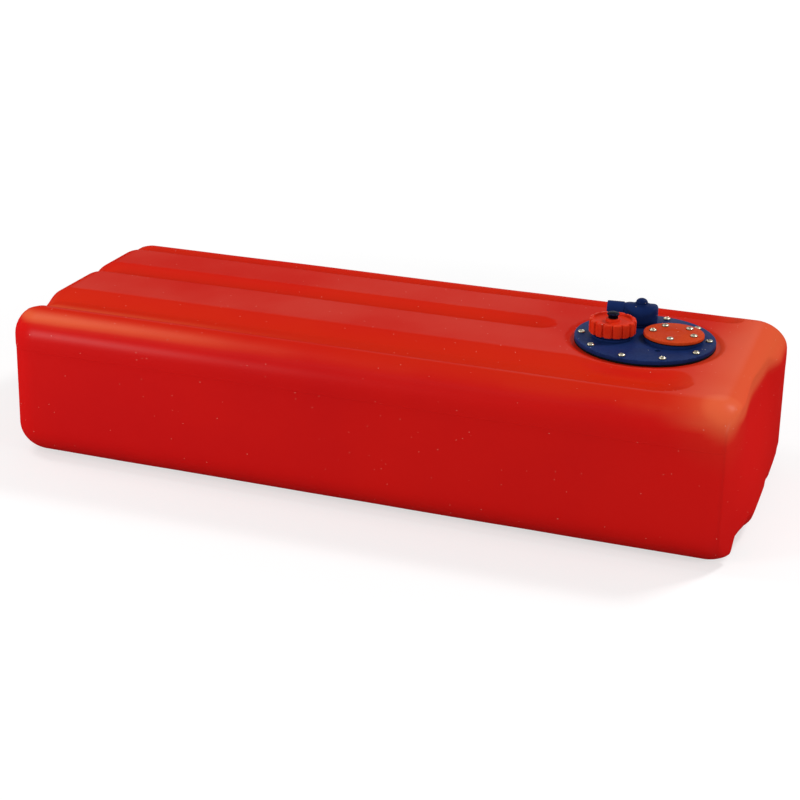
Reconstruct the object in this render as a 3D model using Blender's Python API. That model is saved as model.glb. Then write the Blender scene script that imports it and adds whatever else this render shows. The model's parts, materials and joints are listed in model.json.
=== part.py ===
"""Fixed fuel tank: a hollow moulded shell with grooves, and a screwed flange that carries its fittings.

Metres, +Z up. X runs along the tank, -Y is the long front face, and the origin is the centre of the
underside. Every length is a named value in this first part, and all the rest follows from them.
"""
import math

import bmesh
import bpy
from mathutils import Matrix, Vector

# Clearances
touch_gap = 0.0003
screw_clearance = 0.0004
turn_clearance = 0.0003
cut_overrun = 0.004
weld_distance = 0.00001

# Tank shell
tank_length = 1.000
tank_width = 0.385
tank_height = 0.210
tank_wall = 0.006
corner_radius = 0.048
edge_radius = 0.042
outer_arc_steps = 3
inner_arc_steps = 1

# Grooves: depth and walls, then each one's centre line, width and distance from the right end
groove_depth = 0.011
groove_front_ramp = 0.010
groove_back_ramp = 0.024
front_groove_y = -0.1125
front_groove_width = 0.083
front_groove_from_end = 0.084
middle_groove_y = 0.035
middle_groove_width = 0.048
middle_groove_from_end = 0.294
back_groove_y = 0.146
back_groove_width = 0.036
back_groove_from_end = 0.063
underside_groove_from_end = 0.100
groove_end_steps = 3
groove_fade_share = 0.6

# Channel moulded down the right end
channel_front_y = -0.125
channel_back_y = 0.075
channel_front_flank = 0.017
channel_back_flank = 0.025
channel_bend_y = -0.043
channel_depth = 0.022
channel_back_depth = 0.015
channel_steps = 4

# Flange seat moulded in the top, and the opening through it
flange_from_end = 0.170
flange_y = 0.014
seat_radius = 0.106
seat_depth = 0.003
seat_slope = 0.006
seat_wall = 0.008
seat_pad_margin = 0.004
opening_radius = 0.073
flange_steps = 48

# Flange gasket, plate and split backing ring
gasket_thickness = 0.0020
plate_radius = 0.091
plate_thickness = 0.0055
plate_edge_round = 0.0012
backing_thickness = 0.005
backing_split = 0.006
backing_split_deg = 171.0

# Flange screws
flange_screws = 10
flange_screw_start_deg = 9.0
flange_screw_circle = 0.082
flange_screw_length = 0.0245

# Screws: shank and pan head
shank_radius = 0.0024
head_radius = 0.0046
head_height = 0.0026
head_rim_share = 0.4
head_shoulder_share = 0.78
head_shoulder_height_share = 0.85
head_flat_share = 0.4
hole_steps = 10
screw_steps = 12

# Filler neck and fluted cap
filler_along = -0.0405
filler_across = -0.0130
neck_radius = 0.0235
neck_bore_radius = 0.0190
neck_collar_radius = 0.0262
neck_collar_height = 0.0025
neck_steps = 32
cap_radius = 0.0305
cap_lift_off_plate = 0.0060
cap_height = 0.0180
cap_edge_round = 0.0014
cap_top_thickness = 0.0035
cap_dish_depth = 0.0030
cap_rim_width = 0.0036
cap_boss_radius = 0.0090
cap_boss_height = 0.0036
cap_thread_clearance = 0.0007
flutes = 15
flute_width = 0.0042
flute_depth = 0.0016
flute_facing_deg = -78.0
lobe_points = 3
seal_thickness = 0.0020
seal_width = 0.0036

# Vent knob on the cap
vent_stem_radius = 0.0038
vent_stem_below = 0.0030
vent_neck_radius = 0.0064
vent_neck_height = 0.0018
vent_knob_radius = 0.0081
vent_knob_height = 0.0046
vent_knob_round = 0.0014
vent_washer_thickness = 0.0012
vent_bore_radius = 0.0012
vent_steps = 20

# Level-sender opening, closed by a blanking disc
sender_along = 0.0365
sender_across = 0.0035
sender_boss_radius = 0.0400
sender_boss_height = 0.0040
sender_bore_radius = 0.0205
sender_screw_circle = 0.0270
sender_screw_degs = (-90.0, -10.0, 52.0, 125.0, 184.0)
sender_screw_length = 0.0130
sender_gasket_thickness = 0.0010
disc_radius = 0.0397
disc_thickness = 0.0038
disc_edge_round = 0.0010
disc_plug_depth = 0.0040
disc_steps = 40

# Swivel elbow, its hollow pivot bolt and its ring
elbow_along = -0.0170
elbow_across = 0.0540
elbow_heading_deg = 187.0
elbow_ring_radius = 0.0232
elbow_ring_height = 0.0020
elbow_radius = 0.0220
elbow_height = 0.0222
elbow_top_round = 0.0050
elbow_chamber_radius = 0.0080
elbow_top_wall = 0.0047
elbow_spigot_radius = 0.0115
elbow_spigot_length = 0.0100
tail_height = 0.0122
tail_length = 0.0450
tail_radius = 0.0097
tail_sleeve_radius = 0.0111
tail_sleeve_length = 0.0225
tail_bore_radius = 0.0072
elbow_steps = 28
oring_wire_radius = 0.0008
oring_groove_depth = 0.0020
oring_from_tip = 0.0045
bolt_radius = 0.0055
bolt_bore_radius = 0.0032
bolt_cross_radius = 0.0020
bolt_head_radius = 0.0078
bolt_head_height = 0.0092
bolt_head_rim = 0.0030
bolt_web = 0.0050

# Socket under the flange plate, pick-up tube and strainer
socket_radius = 0.0145
socket_depth = 0.0260
tube_radius = 0.0070
tube_bore_radius = 0.0055
tube_seat_depth = 0.0100
strainer_radius = 0.0105
strainer_height = 0.0320
strainer_floor = 0.0025
strainer_grip = 0.0080
strainer_stand_off = 0.0050
strainer_slots = 6
strainer_slot_width = 0.0035
tube_steps = 16

# Small blind dimple on the plate
dimple_along = 0.0255
dimple_across = -0.0440
dimple_radius = 0.0024
dimple_depth = 0.0020

# Places along the tank, which follow its right end
front_groove_end_x = tank_length / 2 - front_groove_from_end
middle_groove_end_x = tank_length / 2 - middle_groove_from_end
back_groove_end_x = tank_length / 2 - back_groove_from_end
underside_groove_end_x = underside_groove_from_end - tank_length / 2
flange_x = tank_length / 2 - flange_from_end
filler_x = flange_x + filler_along
filler_y = flange_y + filler_across
sender_x = flange_x + sender_along
sender_y = flange_y + sender_across
elbow_x = flange_x + elbow_along
elbow_y = flange_y + elbow_across
dimple_x = flange_x + dimple_along
dimple_y = flange_y + dimple_across

# Levels above the underside of the tank, from the seat upwards and downwards
seat_z = tank_height - seat_depth
gasket_z = seat_z + touch_gap
plate_z = gasket_z + gasket_thickness + touch_gap
plate_top_z = plate_z + plate_thickness
seat_under_z = seat_z - seat_wall
backing_top_z = seat_under_z - touch_gap
cap_z = plate_top_z + cap_lift_off_plate
cap_top_z = cap_z + cap_height
cap_floor_z = cap_top_z - cap_dish_depth
cap_ceiling_z = cap_floor_z - cap_top_thickness
cap_boss_z = cap_floor_z + cap_boss_height
seal_z = cap_ceiling_z - touch_gap - seal_thickness
neck_top_z = seal_z - touch_gap
vent_washer_z = cap_boss_z + touch_gap
vent_neck_z = vent_washer_z + vent_washer_thickness + touch_gap
sender_boss_z = plate_top_z + sender_boss_height
sender_gasket_z = sender_boss_z + touch_gap
disc_z = sender_gasket_z + sender_gasket_thickness + touch_gap
disc_top_z = disc_z + disc_thickness
elbow_z = plate_top_z + elbow_ring_height + touch_gap
elbow_top_z = elbow_z + elbow_height
spigot_tip_z = elbow_z - elbow_spigot_length
socket_floor_z = spigot_tip_z - touch_gap
socket_web_z = socket_floor_z - bolt_web
socket_under_z = plate_z - socket_depth
tube_top_z = socket_under_z + tube_seat_depth
strainer_z = tank_wall + strainer_stand_off
tube_end_z = strainer_z + strainer_height - strainer_grip

flange_centre = Vector((flange_x, flange_y, 0))
flange_hole_radius = shank_radius + screw_clearance


def clear_scene():
    for old in list(bpy.data.objects):
        bpy.data.objects.remove(old, do_unlink=True)


def make_material(name, colour, roughness, metallic=0.0):
    material = bpy.data.materials.new(name)
    material.use_nodes = True
    shader = material.node_tree.nodes["Principled BSDF"]
    shader.inputs["Base Color"].default_value = (*colour, 1.0)
    shader.inputs["Roughness"].default_value = roughness
    shader.inputs["Metallic"].default_value = metallic
    material.diffuse_color = (*colour, 1.0)
    return material


def finish(name, bm, place, material=None, turn_deg=0.0):
    """Closes a bmesh into an object that stands at `place`, turned about +Z."""
    bmesh.ops.remove_doubles(bm, verts=bm.verts, dist=weld_distance)
    bmesh.ops.recalc_face_normals(bm, faces=bm.faces)
    mesh = bpy.data.meshes.new(name)
    bm.to_mesh(mesh)
    bm.free()
    mesh.shade_smooth()
    mesh.set_sharp_from_angle(angle=math.radians(30))
    made = bpy.data.objects.new(name, mesh)
    bpy.context.scene.collection.objects.link(made)
    made.location = place
    made.rotation_euler.z = math.radians(turn_deg)
    if material:
        mesh.materials.append(material)
    else:
        made.hide_render = True
        made.display_type = "WIRE"
    return made


def turned(name, outline, steps, place, material=None, turn_deg=0.0, lying=False):
    """Spins an outline of (radius, height) pairs about Z, or about X where the piece lies down."""
    bm = bmesh.new()
    ring = [bm.verts.new((radius, 0, height)) for radius, height in outline]
    edges = [bm.edges.new((a, b)) for a, b in zip(ring, ring[1:])]
    if outline[0][0] > 0:
        edges.append(bm.edges.new((ring[-1], ring[0])))
    bmesh.ops.spin(bm, geom=ring + edges, cent=(0, 0, 0), axis=(0, 0, 1), angle=math.tau, steps=steps,
                   use_merge=True)
    if lying:
        bmesh.ops.rotate(bm, verts=bm.verts, cent=(0, 0, 0), matrix=Matrix.Rotation(math.pi / 2, 3, "Y"))
    return finish(name, bm, place, material, turn_deg)


def rod(radius, low, high):
    """Outline of a plain solid cylinder, from its top centre round to its bottom centre."""
    return [(0, high), (radius, high), (radius, low), (0, low)]


def pipe(inner, outer, low, high):
    """Outline of a plain ring with a square section."""
    return [(inner, high), (outer, high), (outer, low), (inner, low)]


def quarter(radius, centre_r, centre_z, first_deg, last_deg, steps):
    """Points of an arc, for the round edges of turned pieces."""
    sweep = [math.radians(first_deg + (last_deg - first_deg) * i / steps) for i in range(steps + 1)]
    return [(centre_r + radius * math.cos(a), centre_z + radius * math.sin(a)) for a in sweep]


def combine(piece, other, operation="DIFFERENCE"):
    """Cuts `other` out of the piece, or joins it on, and closes the seam."""
    boolean = piece.modifiers.new(other.name, "BOOLEAN")
    boolean.operation = operation
    boolean.solver = "EXACT"
    boolean.object = other
    weld = piece.modifiers.new("weld_" + other.name, "WELD")
    weld.merge_threshold = weld_distance


def circle_places(centre, radius, degrees):
    return [centre + Vector((math.cos(math.radians(d)), math.sin(math.radians(d)), 0)) * radius
            for d in degrees]


def holes(name, places, radius, low, high):
    """One cutter with an upright round hole at each place."""
    bm = bmesh.new()
    for place in places:
        middle = Matrix.Translation((place.x, place.y, (low + high) / 2))
        bmesh.ops.create_cone(bm, cap_ends=True, segments=hole_steps, radius1=radius, radius2=radius,
                              depth=high - low, matrix=middle)
    return finish(name, bm, (0, 0, 0))


def box_cutter(name, size, place, turn_deg=0.0):
    bm = bmesh.new()
    bmesh.ops.create_cube(bm, size=1, matrix=Matrix.Diagonal((*size, 1)))
    return finish(name, bm, place, turn_deg=turn_deg)


# Tank shell


def ramp(value):
    """Eases from 0 to 1."""
    held = min(max(value, 0.0), 1.0)
    return held * held * (3 - 2 * held)


grooves = (
    (front_groove_y, front_groove_width, front_groove_end_x),
    (middle_groove_y, middle_groove_width, middle_groove_end_x),
    (back_groove_y, back_groove_width, back_groove_end_x),
)


def groove_drop(x, y, end_x):
    """How deep the grooves lie under a point; each runs in from one end and stops in a round end."""
    drop = 0.0
    for centre_y, width, own_end_x in grooves:
        stop = own_end_x if end_x is None else end_x
        half = width / 2
        along = max(x - (stop - half), 0.0)
        across = y - centre_y
        inside = half - math.hypot(along, across)
        wall_width = groove_front_ramp if across < 0 else groove_back_ramp
        wall_width = min(wall_width, half)
        drop = max(drop, groove_depth * min(max(inside / wall_width, 0.0), 1.0))
    return drop


def skin_point(q, inset):
    """Carries a point of the plain box to the rounded and grooved skin, or to `inset` under it."""
    middle_z = tank_height / 2
    limits = (tank_length / 2 - corner_radius, tank_width / 2 - corner_radius, middle_z - edge_radius)
    radii = (corner_radius, corner_radius, edge_radius)
    from_middle = (q[0], q[1], q[2] - middle_z)
    core = [min(max(v, -limit), limit) for v, limit in zip(from_middle, limits)]
    normal = Vector([(v - c) / r for v, c, r in zip(from_middle, core, radii)]).normalized()
    point = Vector([c + n * (r - inset) for c, n, r in zip(core, normal, radii)])
    if normal.z > 0:
        drop = groove_drop(point.x, point.y, None)
    else:
        drop = groove_drop(-point.x, point.y, -underside_groove_end_x)
    point -= normal * drop * ramp(abs(normal.z) / groove_fade_share)
    point.z += middle_z
    return point


def edge_lines(half, radius, arc_steps):
    """Grid lines for the two round edges of one direction, at even angles."""
    angles = [math.pi / 4 * i / arc_steps for i in range(arc_steps + 1)]
    return [side * (half - radius + radius * math.tan(a)) for side in (-1, 1) for a in angles]


def thin_out(lines, least):
    """Sorted lines, without those that nearly repeat their neighbour."""
    kept = []
    for line in sorted(lines):
        if not kept or line - kept[-1] > least:
            kept.append(line)
    return kept


def skin(name, inset, arc_steps, material=None):
    """Closed skin of the tank: a box's grid of lines, each crossing carried to its rounded place."""
    xs = edge_lines(tank_length / 2, corner_radius, arc_steps) + [0.0]
    ys = edge_lines(tank_width / 2, corner_radius, arc_steps)
    zs = edge_lines(tank_height / 2, edge_radius, arc_steps)
    for centre_y, width, end_x in grooves:
        half = width / 2
        back_ramp = min(groove_back_ramp, half)
        ys += [centre_y - half, centre_y - half + groove_front_ramp, centre_y + half - back_ramp,
               centre_y + half]
        bends = [math.sin(math.pi / 2 * i / groove_end_steps) for i in range(groove_end_steps + 1)]
        xs += [end_x - half + half * bend for bend in bends]
        xs += [underside_groove_end_x + half - half * bend for bend in bends]
    least = touch_gap * 8
    lines = [thin_out(xs, least), thin_out(ys, least), [z + tank_height / 2 for z in thin_out(zs, least)]]
    bm = bmesh.new()
    found = {}

    def corner(*index):
        if index not in found:
            found[index] = bm.verts.new(skin_point([lines[k][i] for k, i in enumerate(index)], inset))
        return found[index]

    last = [len(line) - 1 for line in lines]
    for fixed in range(3):
        first, second = [k for k in range(3) if k != fixed]
        for side in (0, last[fixed]):
            for i in range(last[first]):
                for j in range(last[second]):
                    ring = []
                    for a, b in ((i, j), (i + 1, j), (i + 1, j + 1), (i, j + 1)):
                        index = [0, 0, 0]
                        index[fixed], index[first], index[second] = side, a, b
                        ring.append(corner(*index))
                    bm.faces.new(ring)
    return finish(name, bm, (0, 0, 0), material)


def channel_cutter(name, inset):
    """Upright scoop in the right end: a steep front flank, a floor that rises, and a back flank."""
    end_x = tank_length / 2
    front_y = channel_front_y - inset
    back_y = channel_back_y + inset
    curve = [math.sin(math.pi / 2 * i / channel_steps) for i in range(channel_steps + 1)]
    ring = [(end_x + cut_overrun, front_y)]
    for i, bend in enumerate(curve):
        ring.append((end_x - inset - channel_depth * bend, front_y + channel_front_flank * i / channel_steps))
    ring.append((end_x - inset - channel_depth, channel_bend_y))
    for i, bend in enumerate(reversed(curve)):
        y = back_y - channel_back_flank + channel_back_flank * i / channel_steps
        ring.append((end_x - inset - channel_back_depth * bend, y))
    ring.append((end_x + cut_overrun, back_y))
    bm = bmesh.new()
    low = bm.faces.new([bm.verts.new((x, y, -cut_overrun)) for x, y in ring])
    grown = bmesh.ops.extrude_face_region(bm, geom=[low])
    raised = [v for v in grown["geom"] if isinstance(v, bmesh.types.BMVert)]
    bmesh.ops.translate(bm, verts=raised, vec=(0, 0, tank_height + 2 * cut_overrun))
    return finish(name, bm, (0, 0, 0))


def make_tank_shell(material):
    shell = skin("tank_shell", 0, outer_arc_steps, material)
    combine(shell, channel_cutter("end_channel", 0))
    recess = [(0, tank_height + cut_overrun), (seat_radius + seat_slope, tank_height + cut_overrun),
              (seat_radius + seat_slope, tank_height), (seat_radius, seat_z), (0, seat_z)]
    combine(shell, turned("seat_recess", recess, flange_steps, flange_centre))

    cavity = skin("cavity", tank_wall, inner_arc_steps)
    combine(cavity, channel_cutter("inner_channel", tank_wall))
    pad = rod(seat_radius + seat_pad_margin, seat_under_z, tank_height)
    combine(cavity, turned("seat_pad", pad, flange_steps, flange_centre))
    combine(shell, cavity)

    opening = rod(opening_radius, seat_under_z - cut_overrun, tank_height)
    combine(shell, turned("flange_opening", opening, flange_steps, flange_centre))
    combine(shell, holes("shell_screw_holes", flange_screw_places(), flange_hole_radius,
                         seat_under_z - cut_overrun, tank_height))
    return shell


# Flange: gasket, split backing ring, plate and its screws


def flange_screw_places():
    degrees = [flange_screw_start_deg + 360 / flange_screws * i for i in range(flange_screws)]
    return circle_places(flange_centre, flange_screw_circle, degrees)


def sender_centre():
    return Vector((sender_x, sender_y, 0))


def make_gasket(material):
    ring = pipe(opening_radius, plate_radius - plate_edge_round, gasket_z, gasket_z + gasket_thickness)
    gasket = turned("flange_gasket", ring, flange_steps, flange_centre, material)
    combine(gasket, holes("gasket_holes", flange_screw_places(), flange_hole_radius,
                          gasket_z - cut_overrun, plate_z + cut_overrun))


def make_backing_ring(material):
    low = backing_top_z - backing_thickness
    ring = pipe(opening_radius, plate_radius, low, backing_top_z)
    backing = turned("backing_ring", ring, flange_steps, flange_centre, material)
    combine(backing, holes("backing_holes", flange_screw_places(), flange_hole_radius,
                           low - cut_overrun, backing_top_z + cut_overrun))
    split_at = circle_places(flange_centre, (opening_radius + plate_radius) / 2,
                             [backing_split_deg + 180 / flange_screws])[0]
    size = (plate_radius - opening_radius + cut_overrun, backing_split, backing_thickness + cut_overrun)
    combine(backing, box_cutter("backing_split", size, split_at + Vector((0, 0, low + size[2] / 4)),
                                backing_split_deg + 180 / flange_screws))


def make_plate(material):
    rim = plate_radius - plate_edge_round
    disc = [(0, plate_top_z), *quarter(plate_edge_round, rim, plate_top_z - plate_edge_round, 90, 0, 2),
            (plate_radius, plate_z), (0, plate_z)]
    plate = turned("flange_plate", disc, flange_steps, flange_centre, material)
    sunk = plate_thickness / 2

    filler = Vector((filler_x, filler_y, 0))
    neck = [(0, neck_top_z), (neck_radius, neck_top_z),
            (neck_radius, plate_top_z + neck_collar_height),
            (neck_collar_radius, plate_top_z + neck_collar_height),
            (neck_collar_radius, plate_top_z - sunk), (0, plate_top_z - sunk)]
    combine(plate, turned("neck", neck, neck_steps, filler), "UNION")

    boss = rod(sender_boss_radius, plate_top_z - sunk, sender_boss_z)
    combine(plate, turned("sender_boss", boss, disc_steps, sender_centre()), "UNION")

    elbow = Vector((elbow_x, elbow_y, 0))
    ring = rod(elbow_ring_radius, plate_top_z - sunk, plate_top_z + elbow_ring_height)
    combine(plate, turned("elbow_ring", ring, elbow_steps, elbow), "UNION")
    socket = rod(socket_radius, socket_under_z, plate_z + sunk)
    combine(plate, turned("elbow_socket", socket, elbow_steps, elbow), "UNION")

    bore = rod(neck_bore_radius, plate_z - cut_overrun, neck_top_z + cut_overrun)
    combine(plate, turned("filler_bore", bore, neck_steps, filler))
    bore = rod(sender_bore_radius, plate_z - cut_overrun, sender_boss_z + cut_overrun)
    combine(plate, turned("sender_bore", bore, neck_steps, sender_centre()))

    spigot_hole = elbow_spigot_radius + turn_clearance
    bolt_hole = bolt_radius + touch_gap
    tube_hole = tube_radius + touch_gap
    top = plate_top_z + elbow_ring_height + cut_overrun
    stepped = [(0, top), (spigot_hole, top), (spigot_hole, socket_floor_z), (bolt_hole, socket_floor_z),
               (bolt_hole, tube_top_z), (tube_hole, tube_top_z), (tube_hole, socket_under_z - cut_overrun),
               (0, socket_under_z - cut_overrun)]
    combine(plate, turned("elbow_bore", stepped, elbow_steps, elbow))

    combine(plate, holes("plate_holes", flange_screw_places(), flange_hole_radius,
                         plate_z - cut_overrun, plate_top_z + cut_overrun))
    combine(plate, holes("sender_holes", sender_screw_places(), flange_hole_radius,
                         sender_screw_tip() - touch_gap, sender_boss_z + cut_overrun))
    dimple = Vector((dimple_x, dimple_y, 0))
    combine(plate, holes("dimple", [dimple], dimple_radius, plate_top_z - dimple_depth,
                         plate_top_z + cut_overrun))


def screw_outline(length):
    """Pan head above its seat at height 0 and a plain shank below it."""
    return [
        (0, head_height),
        (head_radius * head_flat_share, head_height),
        (head_radius * head_shoulder_share, head_height * head_shoulder_height_share),
        (head_radius, head_height * head_rim_share),
        (head_radius, 0),
        (shank_radius, 0),
        (shank_radius, -length),
        (0, -length),
    ]


def make_screws(stem, places, seat_level, length, material):
    """Separate screws that share one mesh."""
    first = None
    for number, place in enumerate(places, 1):
        name = f"{stem}_{number:02d}"
        stand = Vector((place.x, place.y, seat_level + touch_gap))
        if first is None:
            first = turned(name, screw_outline(length), screw_steps, stand, material)
        else:
            copy = bpy.data.objects.new(name, first.data)
            copy.location = stand
            bpy.context.scene.collection.objects.link(copy)


# Filler cap with its seal, and the vent knob with its washer


def flute_ring(bm, radius, height):
    """One level of the fluted outline: wide lobes with narrow grooves between them."""
    pitch = math.tau / flutes
    half_flute = flute_width / 2 / cap_radius
    ring = []
    for i in range(flutes):
        start = math.radians(flute_facing_deg) + i * pitch
        ring.append((start, radius - flute_depth))
        lobe = [half_flute + (pitch - 2 * half_flute) * k / (lobe_points - 1) for k in range(lobe_points)]
        ring += [(start + angle, radius) for angle in lobe]
    return [bm.verts.new((r * math.cos(a), r * math.sin(a), height)) for a, r in ring]


def make_cap(material):
    """Fluted skirt, dished top with a raised rim, and a boss for the vent knob."""
    levels = (
        (cap_radius - cap_edge_round, 0),
        (cap_radius, cap_edge_round),
        (cap_radius, cap_height - cap_edge_round),
        (cap_radius - cap_edge_round, cap_height),
    )
    bm = bmesh.new()
    rings = [flute_ring(bm, radius, height) for radius, height in levels]
    count = len(rings[0])
    for low, high in zip(rings, rings[1:]):
        for i in range(count):
            j = (i + 1) % count
            bm.faces.new((low[i], low[j], high[j], high[i]))
    bm.faces.new(reversed(rings[0]))
    bm.faces.new(rings[-1])
    axis = Vector((filler_x, filler_y, cap_z))
    cap = finish("filler_cap", bm, axis, material)

    inside = cap_ceiling_z - cap_z
    skirt_inner = neck_radius + cap_thread_clearance
    combine(cap, turned("cap_inside", rod(skirt_inner, -cut_overrun, inside), neck_steps, axis))
    dish_radius = cap_radius - flute_depth - cap_rim_width
    floor = cap_floor_z - cap_z
    dish = pipe(cap_boss_radius, dish_radius, floor, cap_height + cut_overrun)
    combine(cap, turned("cap_dish", dish, neck_steps, axis))
    boss_top = cap_boss_z - cap_z
    boss = rod(cap_boss_radius, floor - cap_top_thickness / 2, boss_top)
    combine(cap, turned("cap_boss", boss, neck_steps, axis), "UNION")
    bore = rod(vent_stem_radius + turn_clearance, inside - cut_overrun, boss_top + cut_overrun)
    combine(cap, turned("vent_hole", bore, vent_steps, axis))


def make_cap_seal(material):
    outer = neck_radius - touch_gap
    ring = pipe(outer - seal_width, outer, 0, seal_thickness)
    turned("cap_seal", ring, neck_steps, (filler_x, filler_y, seal_z), material)


def make_vent(knob_material, washer_material):
    axis = Vector((filler_x, filler_y, vent_neck_z))
    stem_end = cap_ceiling_z - vent_stem_below - vent_neck_z
    head_z = vent_neck_height
    top = head_z + vent_knob_height
    rim = vent_knob_radius - vent_knob_round
    outline = [(0, top), *quarter(vent_knob_round, rim, top - vent_knob_round, 90, 0, 3),
               (vent_knob_radius, head_z), (vent_neck_radius, head_z), (vent_neck_radius, 0),
               (vent_stem_radius, 0), (vent_stem_radius, stem_end), (0, stem_end)]
    knob = turned("vent_knob", outline, vent_steps, axis, knob_material)
    bore = rod(vent_bore_radius, stem_end - cut_overrun, -touch_gap)
    combine(knob, turned("vent_bore", bore, hole_steps, axis))

    inner = vent_stem_radius + touch_gap
    ring = pipe(inner, vent_neck_radius, 0, vent_washer_thickness)
    turned("vent_washer", ring, vent_steps, (filler_x, filler_y, vent_washer_z), washer_material)


# Level-sender opening: gasket, blanking disc and its five screws


def sender_screw_places():
    return circle_places(sender_centre(), sender_screw_circle, sender_screw_degs)


def sender_screw_tip():
    return disc_top_z + touch_gap - sender_screw_length


def make_blanking_disc(disc_material, gasket_material):
    centre = sender_centre()
    outer = disc_radius - disc_edge_round
    ring = pipe(sender_bore_radius, outer, sender_gasket_z, sender_gasket_z + sender_gasket_thickness)
    gasket = turned("sender_gasket", ring, disc_steps, centre, gasket_material)
    plug = sender_bore_radius - touch_gap
    outline = [(0, disc_top_z), *quarter(disc_edge_round, outer, disc_top_z - disc_edge_round, 90, 0, 2),
               (disc_radius, disc_z), (plug, disc_z), (plug, disc_z - disc_plug_depth),
               (0, disc_z - disc_plug_depth)]
    disc = turned("blanking_disc", outline, disc_steps, centre, disc_material)
    low, high = sender_gasket_z - cut_overrun, disc_top_z + cut_overrun
    cutter = holes("disc_holes", sender_screw_places(), flange_hole_radius, low, high)
    combine(gasket, cutter)
    combine(disc, cutter)


# Swivel elbow, O-ring and hollow pivot bolt


def make_elbow(material, ring_material):
    """Drum with a hose tail; it turns on the pivot bolt, and its spigot enters the plate's socket."""
    axis = Vector((elbow_x, elbow_y, elbow_z))
    groove_low = -elbow_spigot_length + oring_from_tip - oring_wire_radius - touch_gap
    groove_high = -elbow_spigot_length + oring_from_tip + oring_wire_radius + touch_gap
    groove_radius = elbow_spigot_radius - oring_groove_depth
    round_r = elbow_radius - elbow_top_round
    round_z = elbow_height - elbow_top_round
    outline = [(0, elbow_height), *quarter(elbow_top_round, round_r, round_z, 90, 0, 4),
               (elbow_radius, 0), (elbow_spigot_radius, 0),
               (elbow_spigot_radius, groove_high), (groove_radius, groove_high),
               (groove_radius, groove_low), (elbow_spigot_radius, groove_low),
               (elbow_spigot_radius, -elbow_spigot_length), (0, -elbow_spigot_length)]
    elbow = turned("swivel_elbow", outline, elbow_steps, axis, material, elbow_heading_deg)

    tail_axis = axis + Vector((0, 0, tail_height))
    sleeve_start = tail_length - tail_sleeve_length
    tail = [(0, tail_length), (tail_sleeve_radius, tail_length), (tail_sleeve_radius, sleeve_start),
            (tail_radius, sleeve_start), (tail_radius, 0), (0, 0)]
    combine(elbow, turned("tail", tail, tube_steps, tail_axis, None, elbow_heading_deg, True), "UNION")
    chamber = rod(elbow_chamber_radius, -elbow_spigot_length - cut_overrun, elbow_height - elbow_top_wall)
    combine(elbow, turned("chamber", chamber, tube_steps, axis, None, elbow_heading_deg))
    pivot = rod(bolt_radius + turn_clearance, 0, elbow_height + cut_overrun)
    combine(elbow, turned("pivot_hole", pivot, tube_steps, axis, None, elbow_heading_deg))
    bore = rod(tail_bore_radius, 0, tail_length + cut_overrun)
    combine(elbow, turned("tail_bore", bore, tube_steps, tail_axis, None, elbow_heading_deg, True))

    wire_centre = groove_radius + touch_gap + oring_wire_radius
    wire_z = -elbow_spigot_length + oring_from_tip
    wire = quarter(oring_wire_radius, wire_centre, wire_z, 0, 360 - 360 / 6, 5)
    turned("elbow_oring", wire[::-1], elbow_steps, axis, ring_material)


def make_pivot_bolt(material):
    """Domed head on the drum, hollow shank down to the web of the plate's socket, one cross hole."""
    axis = Vector((elbow_x, elbow_y, elbow_top_z + touch_gap))
    tip = tube_top_z - (elbow_top_z + touch_gap)
    dome = bolt_head_height - bolt_head_rim
    arc = [math.radians(90 * i / 4) for i in range(5)]
    outline = [(bolt_head_radius * math.sin(a), bolt_head_rim + dome * math.cos(a)) for a in arc]
    outline += [(bolt_head_radius, 0), (bolt_radius, 0), (bolt_radius, tip), (0, tip)]
    bolt = turned("pivot_bolt", outline, tube_steps, axis, material)
    bore = rod(bolt_bore_radius, tip - cut_overrun, -elbow_top_wall)
    combine(bolt, turned("bolt_bore", bore, hole_steps, axis))
    cross = rod(bolt_cross_radius, -2 * bolt_radius, 2 * bolt_radius)
    level = Vector((elbow_x, elbow_y, elbow_z + tail_height))
    combine(bolt, turned("bolt_cross_hole", cross, hole_steps, level, None, elbow_heading_deg, True))


def make_pickup(tube_material, strainer_material):
    """Tube from the socket down to the strainer just over the tank's floor."""
    place = Vector((elbow_x, elbow_y, 0))
    tube = pipe(tube_bore_radius, tube_radius, tube_end_z, tube_top_z - touch_gap)
    turned("pickup_tube", tube, tube_steps, place, tube_material)

    grip = tube_radius + touch_gap
    inside = strainer_z + strainer_floor
    top = strainer_z + strainer_height
    cup = [(0, inside), (tube_bore_radius, inside), (tube_bore_radius, tube_end_z - touch_gap),
           (grip, tube_end_z - touch_gap), (grip, top), (strainer_radius, top),
           (strainer_radius, strainer_z), (0, strainer_z)]
    strainer = turned("pickup_strainer", cup, tube_steps, place, strainer_material)
    slot_height = tube_end_z - inside - 2 * strainer_floor
    slot_z = inside + strainer_floor + slot_height / 2
    for i in range(strainer_slots // 2):
        size = (2 * strainer_radius + cut_overrun, strainer_slot_width, slot_height)
        slot = box_cutter(f"strainer_slot_{i}", size, (elbow_x, elbow_y, slot_z), 360 / strainer_slots * i)
        combine(strainer, slot)


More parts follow.
